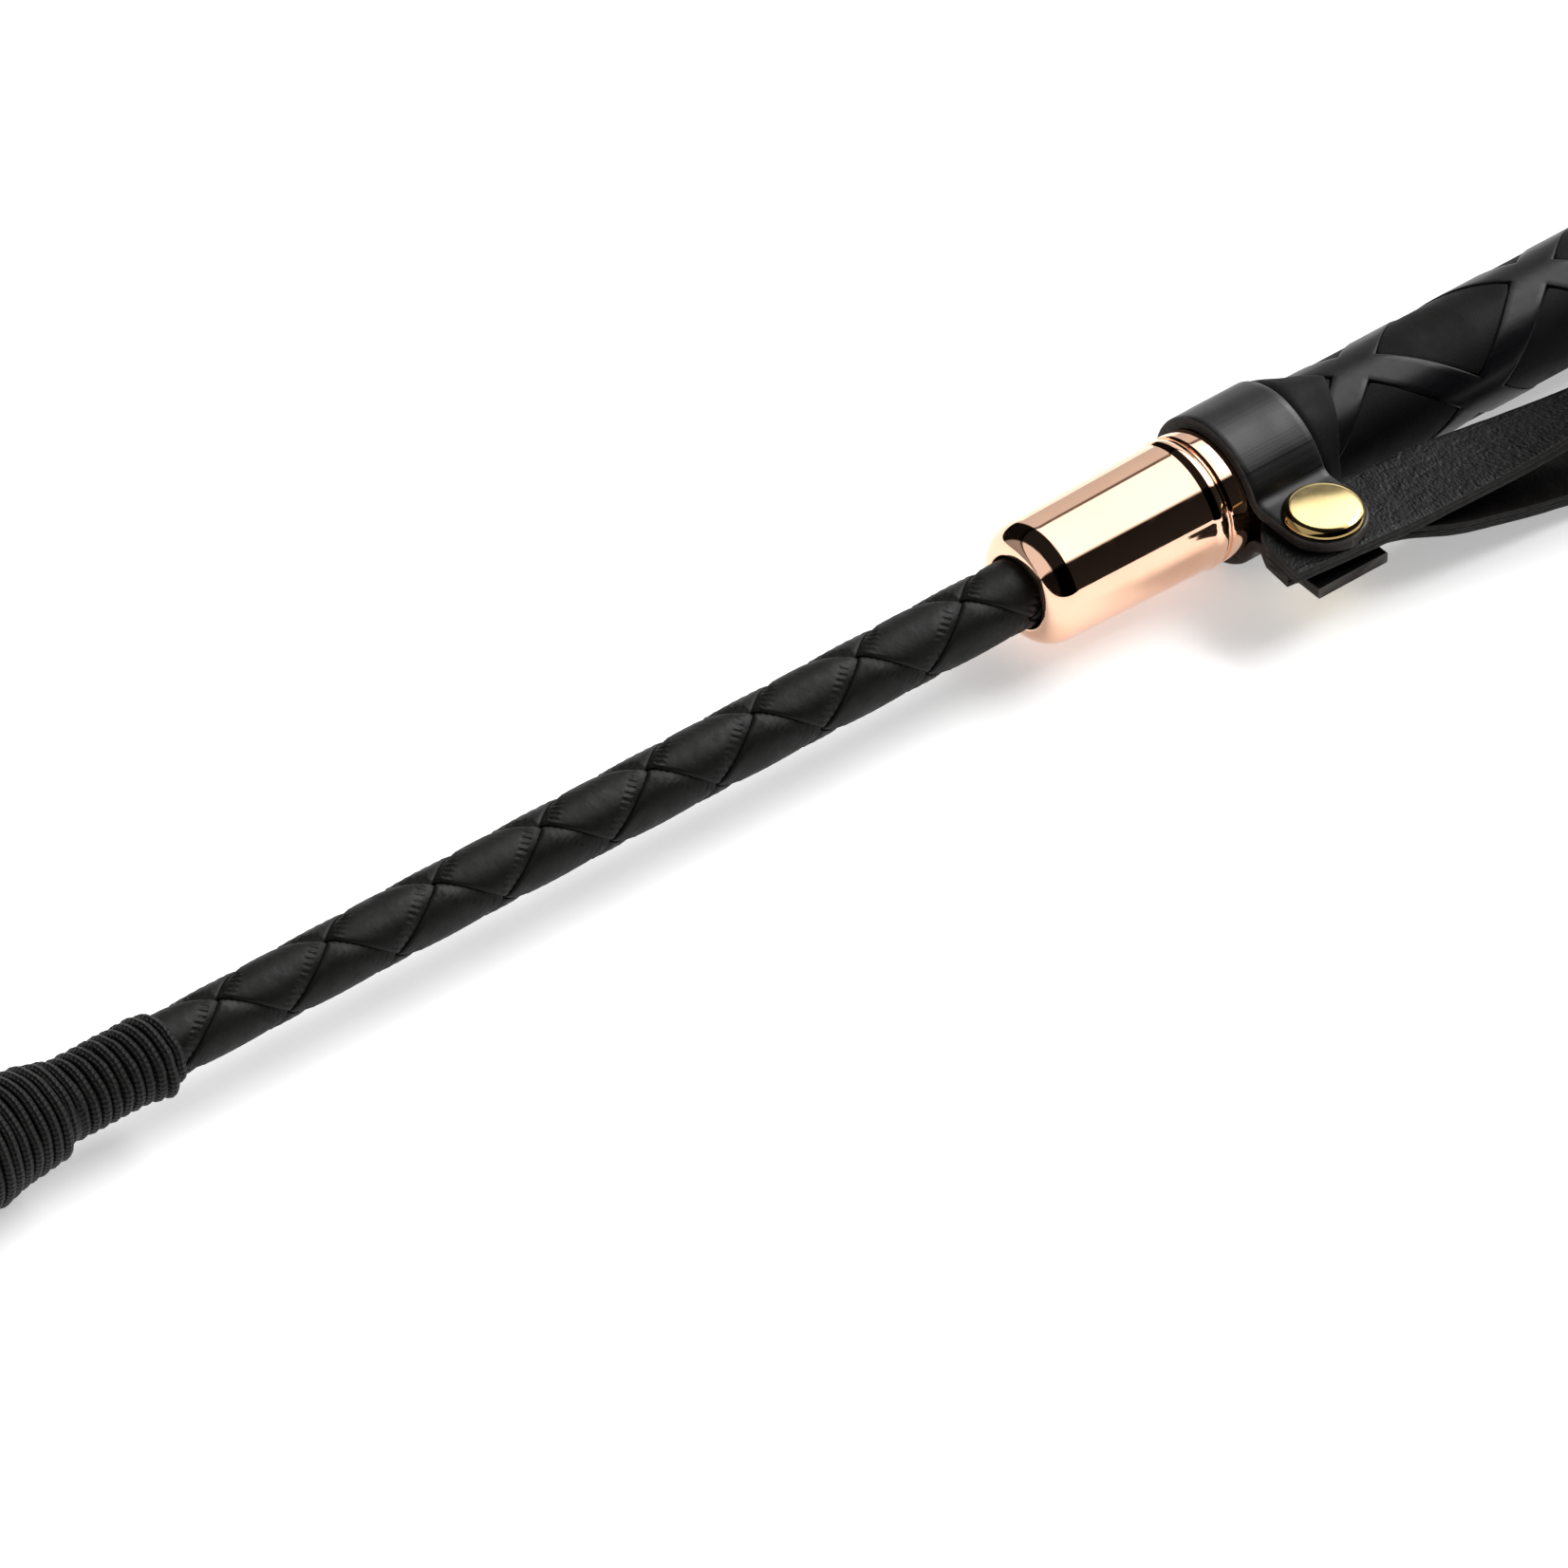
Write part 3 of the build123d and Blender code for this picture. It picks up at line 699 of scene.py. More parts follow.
def whipping(name, start, end, radius_at, material):
    """Braided thread wound in close turns from start to end, with both ends tucked under."""
    turns = (end - start - 2 * THREAD_R) / THREAD_PITCH
    steps = int(turns * 360 / THREAD_STEP_ANGLE)
    sides = 12
    rings, runs = [], []
    run = 0.0
    before = None
    for i in range(steps + 1):
        angle = 2 * math.pi * turns * i / steps
        x = start + THREAD_R + THREAD_PITCH * turns * i / steps
        tuck = 1 - smoothstep(0, 0.6, min(angle, 2 * math.pi * turns - angle))
        wobble = 0.09 * noise.noise(Vector((x * 0.9, math.cos(angle) * 2, math.sin(angle) * 2)))
        r = radius_at(x, angle % (2 * math.pi)) - THREAD_R * THREAD_HIGH - tuck + wobble
        centre = Vector(around(x + wobble, r, angle))
        run += (centre - before).length if before else 0.0
        before = centre
        out = Vector(around(0, 1, angle))
        ring = []
        for side in range(sides):
            turned = 2 * math.pi * side / sides
            plaited = math.cos(2 * math.pi * run / CORD_STITCH) * math.cos(4 * turned)
            reach = THREAD_R * (1 + 0.04 * plaited)
            sideways = Vector((reach * THREAD_WIDE * math.cos(turned), 0, 0))
            ring.append(centre + (sideways + out * (reach * THREAD_HIGH * math.sin(turned))))
        rings.append(ring)
        runs.append(run)
    # wear marks the outer face of each turn; the thread material makes the crests there paler.
    wear = [max(0.0, math.sin(2 * math.pi * side / sides)) ** 2 for side in range(sides)]

    def uvs(ring, column):
        return runs[ring], column / sides

    return object_from_bmesh(name, loft_bmesh(rings, uvs=uvs, wear=wear), [material], 80.0)


# ---------------- ferrule, pommel and rivets
def ferrule(material):
    """Polished cap: rounded front, cone, lip, groove, neck ring and the seat under the collar."""
    bore = BUTT_R + 0.16
    barrel_front, barrel_rear = 6.95, 7.32
    lip = FERRULE_FRONT + 21.6
    groove = FERRULE_FRONT + 23.35
    neck_end = FERRULE_FRONT + 25.9
    profile = [(FERRULE_FRONT + 1.3, bore)]
    profile += arc((FERRULE_FRONT + 0.25, bore + 0.25), 0.25, -90, -180, 5)
    shoulder = 3.3
    for i in range(27):
        turn = math.radians(mix(8, 90, i / 26))
        across = barrel_front - 2.5 * (1 - math.sin(turn))
        profile.append((FERRULE_FRONT + shoulder * (1 - math.cos(turn)), across))
    for i in range(17):
        x = mix(FERRULE_FRONT + shoulder + 0.2, lip - 0.3, i / 16)
        profile.append((x, mix(barrel_front, barrel_rear, i / 16)))
    profile += [(lip + 0.02, barrel_rear)]
    for i in range(15):
        bulge = (LIP_R - 0.08 - barrel_rear) * math.sin(math.pi * mix(0.02, 0.94, i / 14))
        profile.append((mix(lip + 0.05, groove - 0.3, i / 14), barrel_rear + bulge))
    profile += arc((groove, barrel_rear - 0.08), 0.3, 165, 375, 10)
    profile += [(groove + 0.42, barrel_rear + 0.06), (groove + 0.7, barrel_rear + 0.07)]
    profile += [(neck_end - 0.35, barrel_rear + 0.03)]
    profile += arc((neck_end - 0.25, barrel_rear - 0.22), 0.25, 90, 0, 5)
    profile += [(neck_end, SEAT_R), (FERRULE_END - 0.1, SEAT_R), (FERRULE_END, SEAT_R - 0.1)]
    profile += [(FERRULE_END, SEAT_R - WALL), (FERRULE_FRONT + 1.3, SEAT_R - WALL)]
    return lathe("ferrule_polished", profile, material, steps=256, sharp=50.0)


def pommel(material):
    """Polished cap over the butt end, with a bead at its mouth and a softly rounded rear edge."""
    inner = GRIP_R - 1.36
    mouth = POMMEL_START
    profile = [(mouth, inner), (mouth, POMMEL_R - 0.25)]
    profile += arc((mouth + 0.25, POMMEL_R - 0.25), 0.25, 180, 90, 5)
    profile += [(mouth + 1.4, POMMEL_R), (mouth + 1.5, POMMEL_R - 0.18), (mouth + 1.7, POMMEL_R - 0.25)]
    profile += [(mouth + 1.9, POMMEL_R - 0.18), (mouth + 2.0, POMMEL_R - 0.03)]
    profile += [(-2.4, POMMEL_R - 0.03)]
    profile += arc((-2.2, POMMEL_R - 2.23), 2.2, 90, 0, 18)
    profile += [(0, 3.0), (0, 0.02), (-WALL, 0.02), (-WALL, inner)]
    return lathe("pommel_polished", profile, material, steps=192, sharp=50.0)


def rivet_head(name, node, facing, material):
    """Brass button, flat in the middle and steeper towards its edge, pressed on to a tab."""
    low, high = box_mm(node)
    base_z = low.z if facing > 0 else high.z
    edge_r, height = (high.x - low.x) / 2, high.z - low.z
    steps = 40
    fall = [0.0]
    for i in range(steps):
        share = (i + 0.5) / steps
        slope = 4.0 * share + 66 * smoothstep(0.78, 1.03, share)
        fall.append(fall[-1] + math.tan(math.radians(slope)) * edge_r / steps)
    height = min(height, fall[-1] + 0.3)
    outline = [(0.01, 0.0), (edge_r - 0.25, 0.0), (edge_r - 0.06, 0.06)]
    outline += [(edge_r * i / steps, height - fall[i]) for i in range(steps, 0, -1)]
    outline.append((0.01, height))
    rows = []
    for i in range(128):
        angle = 2 * math.pi * i / 128
        rows.append([(RIVET_X + r * math.cos(angle), RIVET_Y + r * math.sin(angle), base_z + facing * h)
                     for r, h in outline])
    # The rim's wear values make the brass paint the rim darker, a painted shade.
    wear = [smoothstep(0.72, 0.95, r / edge_r) for r, _ in outline]
    return object_from_bmesh(name, loft_bmesh(rows, wear=wear, closed=True), [material], 60.0)


# ---------------- collar band
def band_path():
    """Mid-line of the band, from the tip of the lower tab round the ferrule to the tip of the upper tab."""
    mid_r = BAND_OUT_R - BAND_THICKNESS / 2
    tab_z = CAP_LOW.z - BAND_THICKNESS / 2
    tab_end, step = BAND_LOW.y, 0.35
    crease = 2.3
    crease_y = -math.sqrt((mid_r + crease) ** 2 - (tab_z + crease) ** 2)
    crease_turn = math.degrees(math.atan2(tab_z + crease, -crease_y))
    upper = [(tab_end + i * step, tab_z) for i in range(int((crease_y - tab_end) / step))]
    upper += arc((crease_y, tab_z + crease), crease, -90, -crease_turn, 9)
    upper += arc((0, 0), mid_r, 180 - crease_turn, 0, 46)[1:]
    lower = [(y, -z) for y, z in reversed(upper[:-1])]
    return [Vector(point) for point in (upper + lower)[::-1]]


def collar_band(material, edge_material):
    """Leather band folded round the ferrule, its ends brought together as two tabs."""
    half = (BAND_END - BAND_START) / 2 - 0.03
    middle = (BAND_START + BAND_END) / 2

    def section_at(point, upper):
        reach = half
        if upper and point.x < -7:
            # The upper tab ends in a half circle about the rivet.
            beyond = max(0.0, RIVET_Y - point.x)
            reach = math.sqrt(max(0.05, half ** 2 - beyond ** 2))
        return strip_section(-reach, reach, BAND_THICKNESS, 0.2)

    def place_at(point, normal, upper, across, up):
        wavy = 0.05 * noise.noise(Vector((across * 0.35, point.x * 0.3, point.y * 0.3)))
        place = point - normal * (up + wavy)
        return middle + across, place.x, place.y

    return leather_strip("collar_band_leather", band_path(), section_at, place_at, [material, edge_material])


# ---------------- wrist strap
STRAP_WIDTH = 10.0
PLY = 0.74
PLY_MIDDLE = 0.375                  # from the strap's mid-surface
STRAP_THICKNESS = 1.5
LAYER_GAP = 0.04
HEEL_LENGTH = 6.9
FLEX_LENGTH = 7.4
LOOP_LENGTH = 128.0
LOOP_YAW = math.radians(-5.0)
LOWER_LEG_SLOPE = math.radians(13.3)
LOOP_ARCH = (75.0, 8.6)             # top of the upper leg: along, then up
LOOP_TURN_Z = 3.0
LOOP_REST_Z = box_mm("wrist_loop_outer")[0].z + STRAP_THICKNESS / 2
UPPER_TWIST = math.radians(27.0)    # the upper leg leans over
UPPER_BOW = 1.6                     # and sways out sideways


def loop_to_world(along, across, up):
    """From the strap's own axes, with the rivet at the origin, to the row frame."""
    x = RIVET_X + along * math.cos(LOOP_YAW) - across * math.sin(LOOP_YAW)
    y = RIVET_Y + along * math.sin(LOOP_YAW) + across * math.cos(LOOP_YAW)
    return Vector((x, y, up))


def strap_path():
    """Mid-surface of the strap from the lower heel, round the far turn, to the upper heel."""
    stack = STRAP_THICKNESS / 2 + LAYER_GAP
    landing = FLEX_LENGTH - (LOOP_REST_Z + stack) / math.tan(LOWER_LEG_SLOPE)
    points = [
        (-HEEL_LENGTH, -stack), (FLEX_LENGTH, -stack), (landing, LOOP_REST_Z), (LOOP_LENGTH, LOOP_REST_Z),
        (LOOP_LENGTH, LOOP_TURN_Z), LOOP_ARCH, (23.0, 1.5), (FLEX_LENGTH, stack), (-HEEL_LENGTH, stack),
    ]
    return rounded_path(points, [22, 190, 4.7, 4.7, 180, 90, 60], 0.8)


def strap_ply(name, offset, half_width, material, edge_material):
    """One ply of the strap, offset outwards from the strap's mid-surface."""
    def section_at(point, upper):
        into_heel = max(0.0, (4.8 - HEEL_LENGTH) - point.x) / 4.8
        high = half_width * math.sqrt(max(0.02, 1 - min(1.0, into_heel) ** 2))
        trimmed = 0.0 if upper else 1.7 * (1 - smoothstep(4, 16, point.x))
        return strip_section(trimmed - half_width, high, PLY, 0.13)

    def place_at(point, normal, upper, across, up):
        reach = point.x
        twist = UPPER_TWIST * hump(reach, 10, 42, 66, 118) if upper else 0.0
        bow = UPPER_BOW * hump(reach, 13, 42, 50, 118) if upper else 0.0
        sway = 0.10 * noise.noise(Vector((reach * 0.12, 7.0 if upper else 0.0, 0)))
        edge_sway = 0.05 * noise.noise(Vector((reach * 0.5, across * 0.2, 3.0)))
        lift = up + offset
        turned_across = across * math.cos(twist) + lift * math.sin(twist) + sway - bow
        turned_up = lift * math.cos(twist) - across * math.sin(twist) + edge_sway
        place = point + normal * turned_up
        return loop_to_world(place.x, turned_across, place.y)

    return leather_strip(name, strap_path(), section_at, place_at, [material, edge_material])


# ---------------- grip
PAD_PITCH = 49.8
PAD_HALF = (180 - 44) / 2 / 360     # half a lane between two bars, in turns
PAD_CENTRE_X = GRIP_START + 23.1
TURN_MM = 32.2                      # distance across the bars for one turn
PAD_GAP = 0.01
PAD_FLOOR_R = 5.98
PAD_INSET = 0.6                     # from the sleeve's ends
PAD_EASE = 0.035                    # how far the pads' sides draw in towards their points


def grip_point(right, left, radius):
    """Point of the grip from its two families of diagonal lines, each counted in turns from the top."""
    angle = math.pi * (right + left) + math.pi / 2
    return around(PAD_CENTRE_X + PAD_PITCH * (left - right) / 2, radius, angle)


def lane_depth(turns):
    """How far inside a lane a line lies, in millimetres; below zero it is on a bar."""
    nearest = round(turns * 2) / 2
    return (PAD_HALF - abs(turns - nearest)) * TURN_MM


def lane_stops():
    """Line positions over one turn, close together at the walls of the recesses."""
    wall = [-0.22, -0.1, -0.03, 0.0, 0.02]
    stops = set()
    for lane in (0.0, 0.5):
        stops |= {lane + i * PAD_HALF / 9 for i in range(-8, 9)}
        stops |= {lane + side * (PAD_HALF - depth / TURN_MM) for side in (-1, 1) for depth in wall}
        stops |= {lane + 0.25 + i * 0.012 for i in (-3, -2, -1, 0, 1, 2, 3)}
    return sorted({round(stop % 1, 6) for stop in stops})


def sleeve_radius(right, left):
    """Glossy bars at full radius with eased edges, and a recess floor in each lane crossing."""
    depth = min(lane_depth(right), lane_depth(left))
    if depth > 0.01:
        return PAD_FLOOR_R
    return GRIP_R - 0.10 * smoothstep(-0.22, 0.0, depth) ** 2


def grip_sleeve(material):
    """Glossy sleeve: a net of flat diagonal bars round the diamond recesses."""
    stops = lane_stops()
    count = len(stops)
    low = 2 * (GRIP_START - 1 - PAD_CENTRE_X) / PAD_PITCH
    high = 1 + 2 * (GRIP_END + 1 - PAD_CENTRE_X) / PAD_PITCH
    first, last = math.floor(low) - 1, math.ceil(high) + 1
    shape = bmesh.new()
    grid = {}
    for (i, right), turn, (j, stop) in product(enumerate(stops), range(first, last + 1), enumerate(stops)):
        place = grip_point(right, turn + stop, sleeve_radius(right, turn + stop))
        grid[i, turn * count + j] = shape.verts.new(place)
    for i, j in product(range(count), range((first + 1) * count, last * count - 1)):
        # The last column joins on to the first one, a turn back along the other lines.
        k, back = (i + 1, 0) if i + 1 < count else (0, count)
        corners = [(i, j), (k, j - back), (k, j + 1 - back), (i, j + 1)]
        if all(corner in grid for corner in corners):
            shape.faces.new([grid[corner] for corner in corners])
    loose = [vertex for vertex in shape.verts if not vertex.link_faces]
    bmesh.ops.delete(shape, geom=loose, context="VERTS")
    cut_square(shape, GRIP_START, GRIP_END, capped=False)
    line_tube(shape, GRIP_START, GRIP_END, GRIP_R - 1.37)
    return object_from_bmesh("grip_sleeve_gloss", shape, [material], 50.0)


def line_tube(shape, start, end, radius, steps=96):
    """Adds the inner wall of a tube and joins it to the skin's two open ends."""
    open_edges = [edge for edge in shape.edges if edge.is_boundary]
    middle = (start + end) / 2
    wall = []
    for place in (start, end):
        angles = [2 * math.pi * i / steps for i in range(steps)]
        wall.append([shape.verts.new(around(place, radius, angle)) for angle in angles])
    for i in range(steps):
        k = (i + 1) % steps
        shape.faces.new((wall[0][i], wall[0][k], wall[1][k], wall[1][i]))
    for side, ring in ((-1, wall[0]), (1, wall[1])):
        outer = [edge for edge in open_edges if (edge.verts[0].co.x - middle) * side > 0]
        inner = [edge for edge in shape.edges if edge.verts[0] in ring and edge.verts[1] in ring]
        bmesh.ops.bridge_loops(shape, edges=outer + inner)


def add_pad(shape, wear_layer, right_lane, left_lane, half, spread):
    """Adds a closed diamond pad: its face, its back, and a wall round their rim."""
    layers = {}
    for side, (i, a), (j, b) in product((1, -1), enumerate(spread), enumerate(spread)):
        across, along = a * (1 - PAD_EASE * b ** 6), b * (1 - PAD_EASE * a ** 6)
        edge = (1 - max(abs(a), abs(b))) * half * TURN_MM
        drop = 0.05 * (1 - smoothstep(0.0, 0.12, edge))
        radius = PAD_R - drop if side > 0 else PAD_FLOOR_R + 0.01
        vertex = shape.verts.new(grip_point(right_lane + across * half, left_lane + along * half, radius))
        vertex[wear_layer] = 1 - smoothstep(0.0, 0.15, edge)
        layers[side, i, j] = vertex
    last = len(spread) - 1
    for side, i, j in product((1, -1), range(last), range(last)):
        corners = ((i, j), (i + 1, j), (i + 1, j + 1), (i, j + 1))
        shape.faces.new([layers[side, *corner] for corner in corners])
    rim = [(i, 0) for i in range(last)] + [(last, j) for j in range(last)]
    rim += [(last - i, last) for i in range(last)] + [(0, last - j) for j in range(last)]
    for here, there in zip(rim, rim[1:] + rim[:1]):
        shape.faces.new([layers[1, *here], layers[1, *there], layers[-1, *there], layers[-1, *here]])


def grip_pads(material):
    """Matte diamond pads with eased edges, one in each recess of the sleeve."""
    cells = 26
    spread = {mix(-0.97, 0.97, i / cells) for i in range(cells + 1)}
    for rim in (0.0, 0.004, 0.012):
        spread |= {rim - 1, 1 - rim}
    spread = sorted(spread)
    half = PAD_HALF - PAD_GAP / TURN_MM
    shape = bmesh.new()
    wear_layer = shape.verts.layers.float.new("wear")
    start, end = GRIP_START + PAD_INSET, GRIP_END - PAD_INSET
    reach = PAD_PITCH * half
    for right_lane, step in product((0.0, 0.5), range(-8, 9)):
        if start - reach <= PAD_CENTRE_X + PAD_PITCH * step / 4 <= end + reach:
            add_pad(shape, wear_layer, right_lane, right_lane + step / 2, half, spread)
    cut_square(shape, start, end)
    return object_from_bmesh("grip_pads_matte", shape, [material], 50.0)


def hem_reach(angle):
    """How far back the hem runs, in millimetres, at an angle in degrees from +Y towards +Z."""
    from_point = (angle - 87 + 180) % 360 - 180
    fall = 75 if from_point > 0 else 40
    return 2.9 + 3.7 * max(0.0, 1 - abs(from_point) / fall) ** 1.05


def grip_hem(material):
    """Matte leather edge tucked in behind the collar, drawn out to a point on top."""
    steps = 180
    rings = []
    for i in range(steps):
        degrees = 360 * i / steps
        angle = math.radians(degrees)
        reach = hem_reach(degrees)
        full = HEM_R + 0.45 * max(0.0, math.cos(angle - math.radians(55)))
        outline = [(0.0, GRIP_R + 0.02), (0.0, full - 0.1), (0.1, full)]
        outline += [(reach * share, mix(full, GRIP_R + 0.3, smoothstep(0.05, 1.1, share)))
                    for share in (0.2, 0.35, 0.5, 0.65, 0.8, 0.92)]
        outline += [(reach - 0.12, GRIP_R + 0.3), (reach - 0.02, GRIP_R + 0.2), (reach, GRIP_R + 0.02)]
        ruffle = 0.06 * noise.noise(Vector((math.cos(angle) * 3, math.sin(angle) * 3, 0)))
        outline = [(x, r + ruffle * (r > GRIP_R + 0.1)) for x, r in outline]
        rings.append([around(HEM_START + x, r, angle) for x, r in outline])
    wear = [0, 0.4, 0.6, 0, 0, 0, 0, 0, 0.2, 1.0, 0.8, 0]
    return object_from_bmesh("grip_hem_matte", loft_bmesh(rings, wear=wear, closed=True), [material], 50.0)


# ---------------- keeper
KEEPER_DROOP = math.radians(8.5)
KEEPER_HINGE_X = THICK_START - 1.6
KEEPER_LENGTH = (KEEPER_HINGE_X - KEEPER_LOW.x) / math.cos(KEEPER_DROOP)
KEEPER_PLY = 1.25
KEEPER_HALF = KEEPER_HIGH.y
KEEPER_ROOT_HALF = 4.0
KEEPER_TUCK = 3.5                   # how far the leaves run into the whipping


def keeper_half_width(reach):
    """Half the width of the flap: gathered at the root, full past the middle, rounded at the fold."""
    flare = mix(KEEPER_ROOT_HALF, KEEPER_HALF, smoothstep(-1.5, KEEPER_LENGTH * 0.5, reach) ** 0.9)
    corner = 3.2
    past = max(0.0, reach - (KEEPER_LENGTH - corner)) / corner
    return flare - corner * (1 - math.sqrt(max(0.0, 1 - min(1.0, past) ** 2))) * 0.85


def keeper_flap(material, edge_material):
    """One leather strip folded at its far end, its two leaves gathered into the whipping."""
    gap = 0.07
    middle = KEEPER_PLY / 2 + gap
    straight = KEEPER_LENGTH - middle - KEEPER_PLY / 2
    count = 64
    leaf = [(mix(-KEEPER_TUCK, straight, i / count), middle) for i in range(count + 1)]
    turns = [math.radians(degrees) for degrees in range(15, 180, 15)]
    fold = [(straight + middle * math.sin(turn), middle * math.cos(turn)) for turn in turns]
    path = [Vector(p) for p in leaf + fold + [(x, -z) for x, z in reversed(leaf)]]

    def section_at(point, upper):
        half = keeper_half_width(point.x)
        return strip_section(-half, half, KEEPER_PLY, 0.2, across=24)

    def place_at(point, normal, upper, across, up):
        share = across / keeper_half_width(point.x)
        side = 1 if point.y > 0 else -1
        gather = 1 - smoothstep(-1.0, 13.0, point.x)
        calm = 1 - smoothstep(straight - 4, straight, point.x)
        pleat = 0.55 * gather * math.cos(share * math.pi * 2.5) * (0.4 if point.x < -1 else 1.0)
        cup = 0.5 * smoothstep(6, 30, point.x) * share ** 2 * side
        wave = 0.22 * noise.noise(Vector((point.x * 0.09, share * 1.3, side * 2.0)))
        plump = 0.85 * (1 - smoothstep(-2.0, 7.0, point.x)) * (1 - 0.55 * share ** 2)
        lift = up * (1 + 0.35 * plump) + plump + pleat * 0.4
        place = point - normal * lift
        down = place.y + wave * calm + cup * calm * 0.3
        droop = KEEPER_DROOP
        x = KEEPER_HINGE_X - place.x * math.cos(droop) + down * math.sin(droop)
        z = -place.x * math.sin(droop) * (1 if place.x > 0 else 0.2) + down * math.cos(droop)
        return x, across, z

    return leather_strip("keeper_flap_leather", path, section_at, place_at, [material, edge_material],
                         sharp=50.0, half_width_at=keeper_half_width)


# ---------------- stage, light and camera
CAMERA_AZIMUTH, CAMERA_ELEVATION = -39.27, 40.91
CAMERA_DISTANCE = 2000.0
VIEW_WIDTH = 162.9                  # what the frame shows across, at the crop
VIEW_CENTRE = (-148.7, 1.8, -6.05)  # place on the shaft line, then right and up in the frame
SENSOR = 36.0
FLOOR_DROP = 0.05
FLOOR_HALF = 12.0                   # metres
TABLE_GLOW = 0.43
# Each lamp's brightness, then its level against the degrees up from the front horizon, over the top
# to the rear one, and against the sideways part of the direction, from -1 at the keeper's end to 1.
LAMPS = [
    (3.0,
     [(0, 0.01), (51, 0.006), (56, 1.0), (133, 0.95), (135, 0.08), (139, 0.07), (142, 0.38), (180, 0.33)],
     [(-1, 0.3), (-0.46, 0.3), (-0.40, 0.005), (0.37, 0.005), (0.40, 0.66), (0.54, 0.66), (0.62, 1.0),
      (1, 1.0)]),
    (9.0,
     [(0, 0), (56, 0), (62, 1.0), (116, 1.0), (124, 0), (180, 0)],
     [(-1, 0), (0.51, 0), (0.55, 1.0), (0.76, 1.0), (0.80, 0), (1, 0)]),
]


def make_camera():
    azimuth, elevation = math.radians(CAMERA_AZIMUTH), math.radians(CAMERA_ELEVATION)
    back = Vector((math.sin(azimuth) * math.cos(elevation), -math.cos(azimuth) * math.cos(elevation),
                   math.sin(elevation)))
    right = Vector((math.cos(azimuth), math.sin(azimuth), 0))
    up = back.cross(right)
    target = Vector((VIEW_CENTRE[0], 0, 0)) + right * VIEW_CENTRE[1] + up * VIEW_CENTRE[2]
    data = bpy.data.cameras.new("camera")
    data.sensor_width = SENSOR
    data.lens = SENSOR * CAMERA_DISTANCE / VIEW_WIDTH
    data.clip_end = 100
    camera = bpy.data.objects.new("camera", data)
    camera.location = (target + back * CAMERA_DISTANCE) * MM
    camera.rotation_mode = "QUATERNION"
    camera.rotation_quaternion = (-back).to_track_quat("-Z", "Y")
    bpy.context.scene.collection.objects.link(camera)
    bpy.context.scene.camera = camera


def make_floor():
    """Large matte pale table just under the crop, faintly lit from below."""
    height, half = CAD_BOX[0][2] - FLOOR_DROP * MM, FLOOR_HALF
    mesh = bpy.data.meshes.new("floor")
    corners = [(-half, -half, height), (half, -half, height), (half, half, height), (-half, half, height)]
    mesh.from_pydata(corners, [], [(0, 1, 2, 3)])
    shader = Shader("table", (0.86, 0.86, 0.86), 0.7, specular=0.2)
    speckle = shader.noise(3.0, 3.0)
    shader.feed((1, 1, 1), shader.surface, "Emission Color")
    shader.set(shader.surface, "Emission Strength", TABLE_GLOW)
    mesh.materials.append(shader.finish(shader.blend(speckle, (0.85, 0.85, 0.85), (0.87, 0.87, 0.87))))
    floor = bpy.data.objects.new("floor", mesh)
    bpy.context.scene.collection.objects.link(floor)


def make_light():
    """A softbox overhead with a brighter lamp in it towards the butt, dark in front and pale behind."""
    world = bpy.data.worlds.new("studio")
    bpy.context.scene.world = world
    world.use_nodes = True
    nodes = Nodes(world.node_tree)
    split = nodes.add("ShaderNodeSeparateXYZ")
    nodes.link(nodes.add("ShaderNodeTexCoord").outputs["Generated"], split, 0)
    forward = nodes.maths("MULTIPLY", split.outputs["Y"], -1)
    turned = nodes.maths("DIVIDE", nodes.maths("ARCTAN2", split.outputs["Z"], forward), math.pi)
    sideways = nodes.maths("MULTIPLY_ADD", split.outputs["X"], 0.5, 0.5)
    level = None
    for brightness, heights, places in LAMPS:
        up_down = nodes.ramp(turned, [(degrees / 180, share) for degrees, share in heights])
        left_right = nodes.ramp(sideways, [(0.5 + x / 2, share) for x, share in places])
        lamp = nodes.maths("MULTIPLY", nodes.maths("MULTIPLY", up_down, left_right), brightness)
        level = nodes.maths("ADD", level, lamp) if level else lamp
    lit = world.node_tree.nodes["Background"]
    nodes.set(lit, "Color", (1, 1, 1, 1))
    nodes.link(level, lit, "Strength")
    plain = nodes.add("ShaderNodeBackground")
    nodes.set(plain, "Color", (0.95, 0.95, 0.95, 1))
    choose = nodes.add("ShaderNodeMixShader")
    nodes.link(nodes.add("ShaderNodeLightPath").outputs["Is Camera Ray"], choose, 0)
    nodes.link(lit.outputs[0], choose, 1)
    nodes.link(plain.outputs[0], choose, 2)
    nodes.link(choose.outputs[0], world.node_tree.nodes["World Output"], 0)


# ---------------- put it together
def stand_in(piece, body, slot, *nodes):
    """The piece rides on a body and stands for its CAD nodes."""
    if body:
        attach(piece, body)
    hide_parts(*nodes)


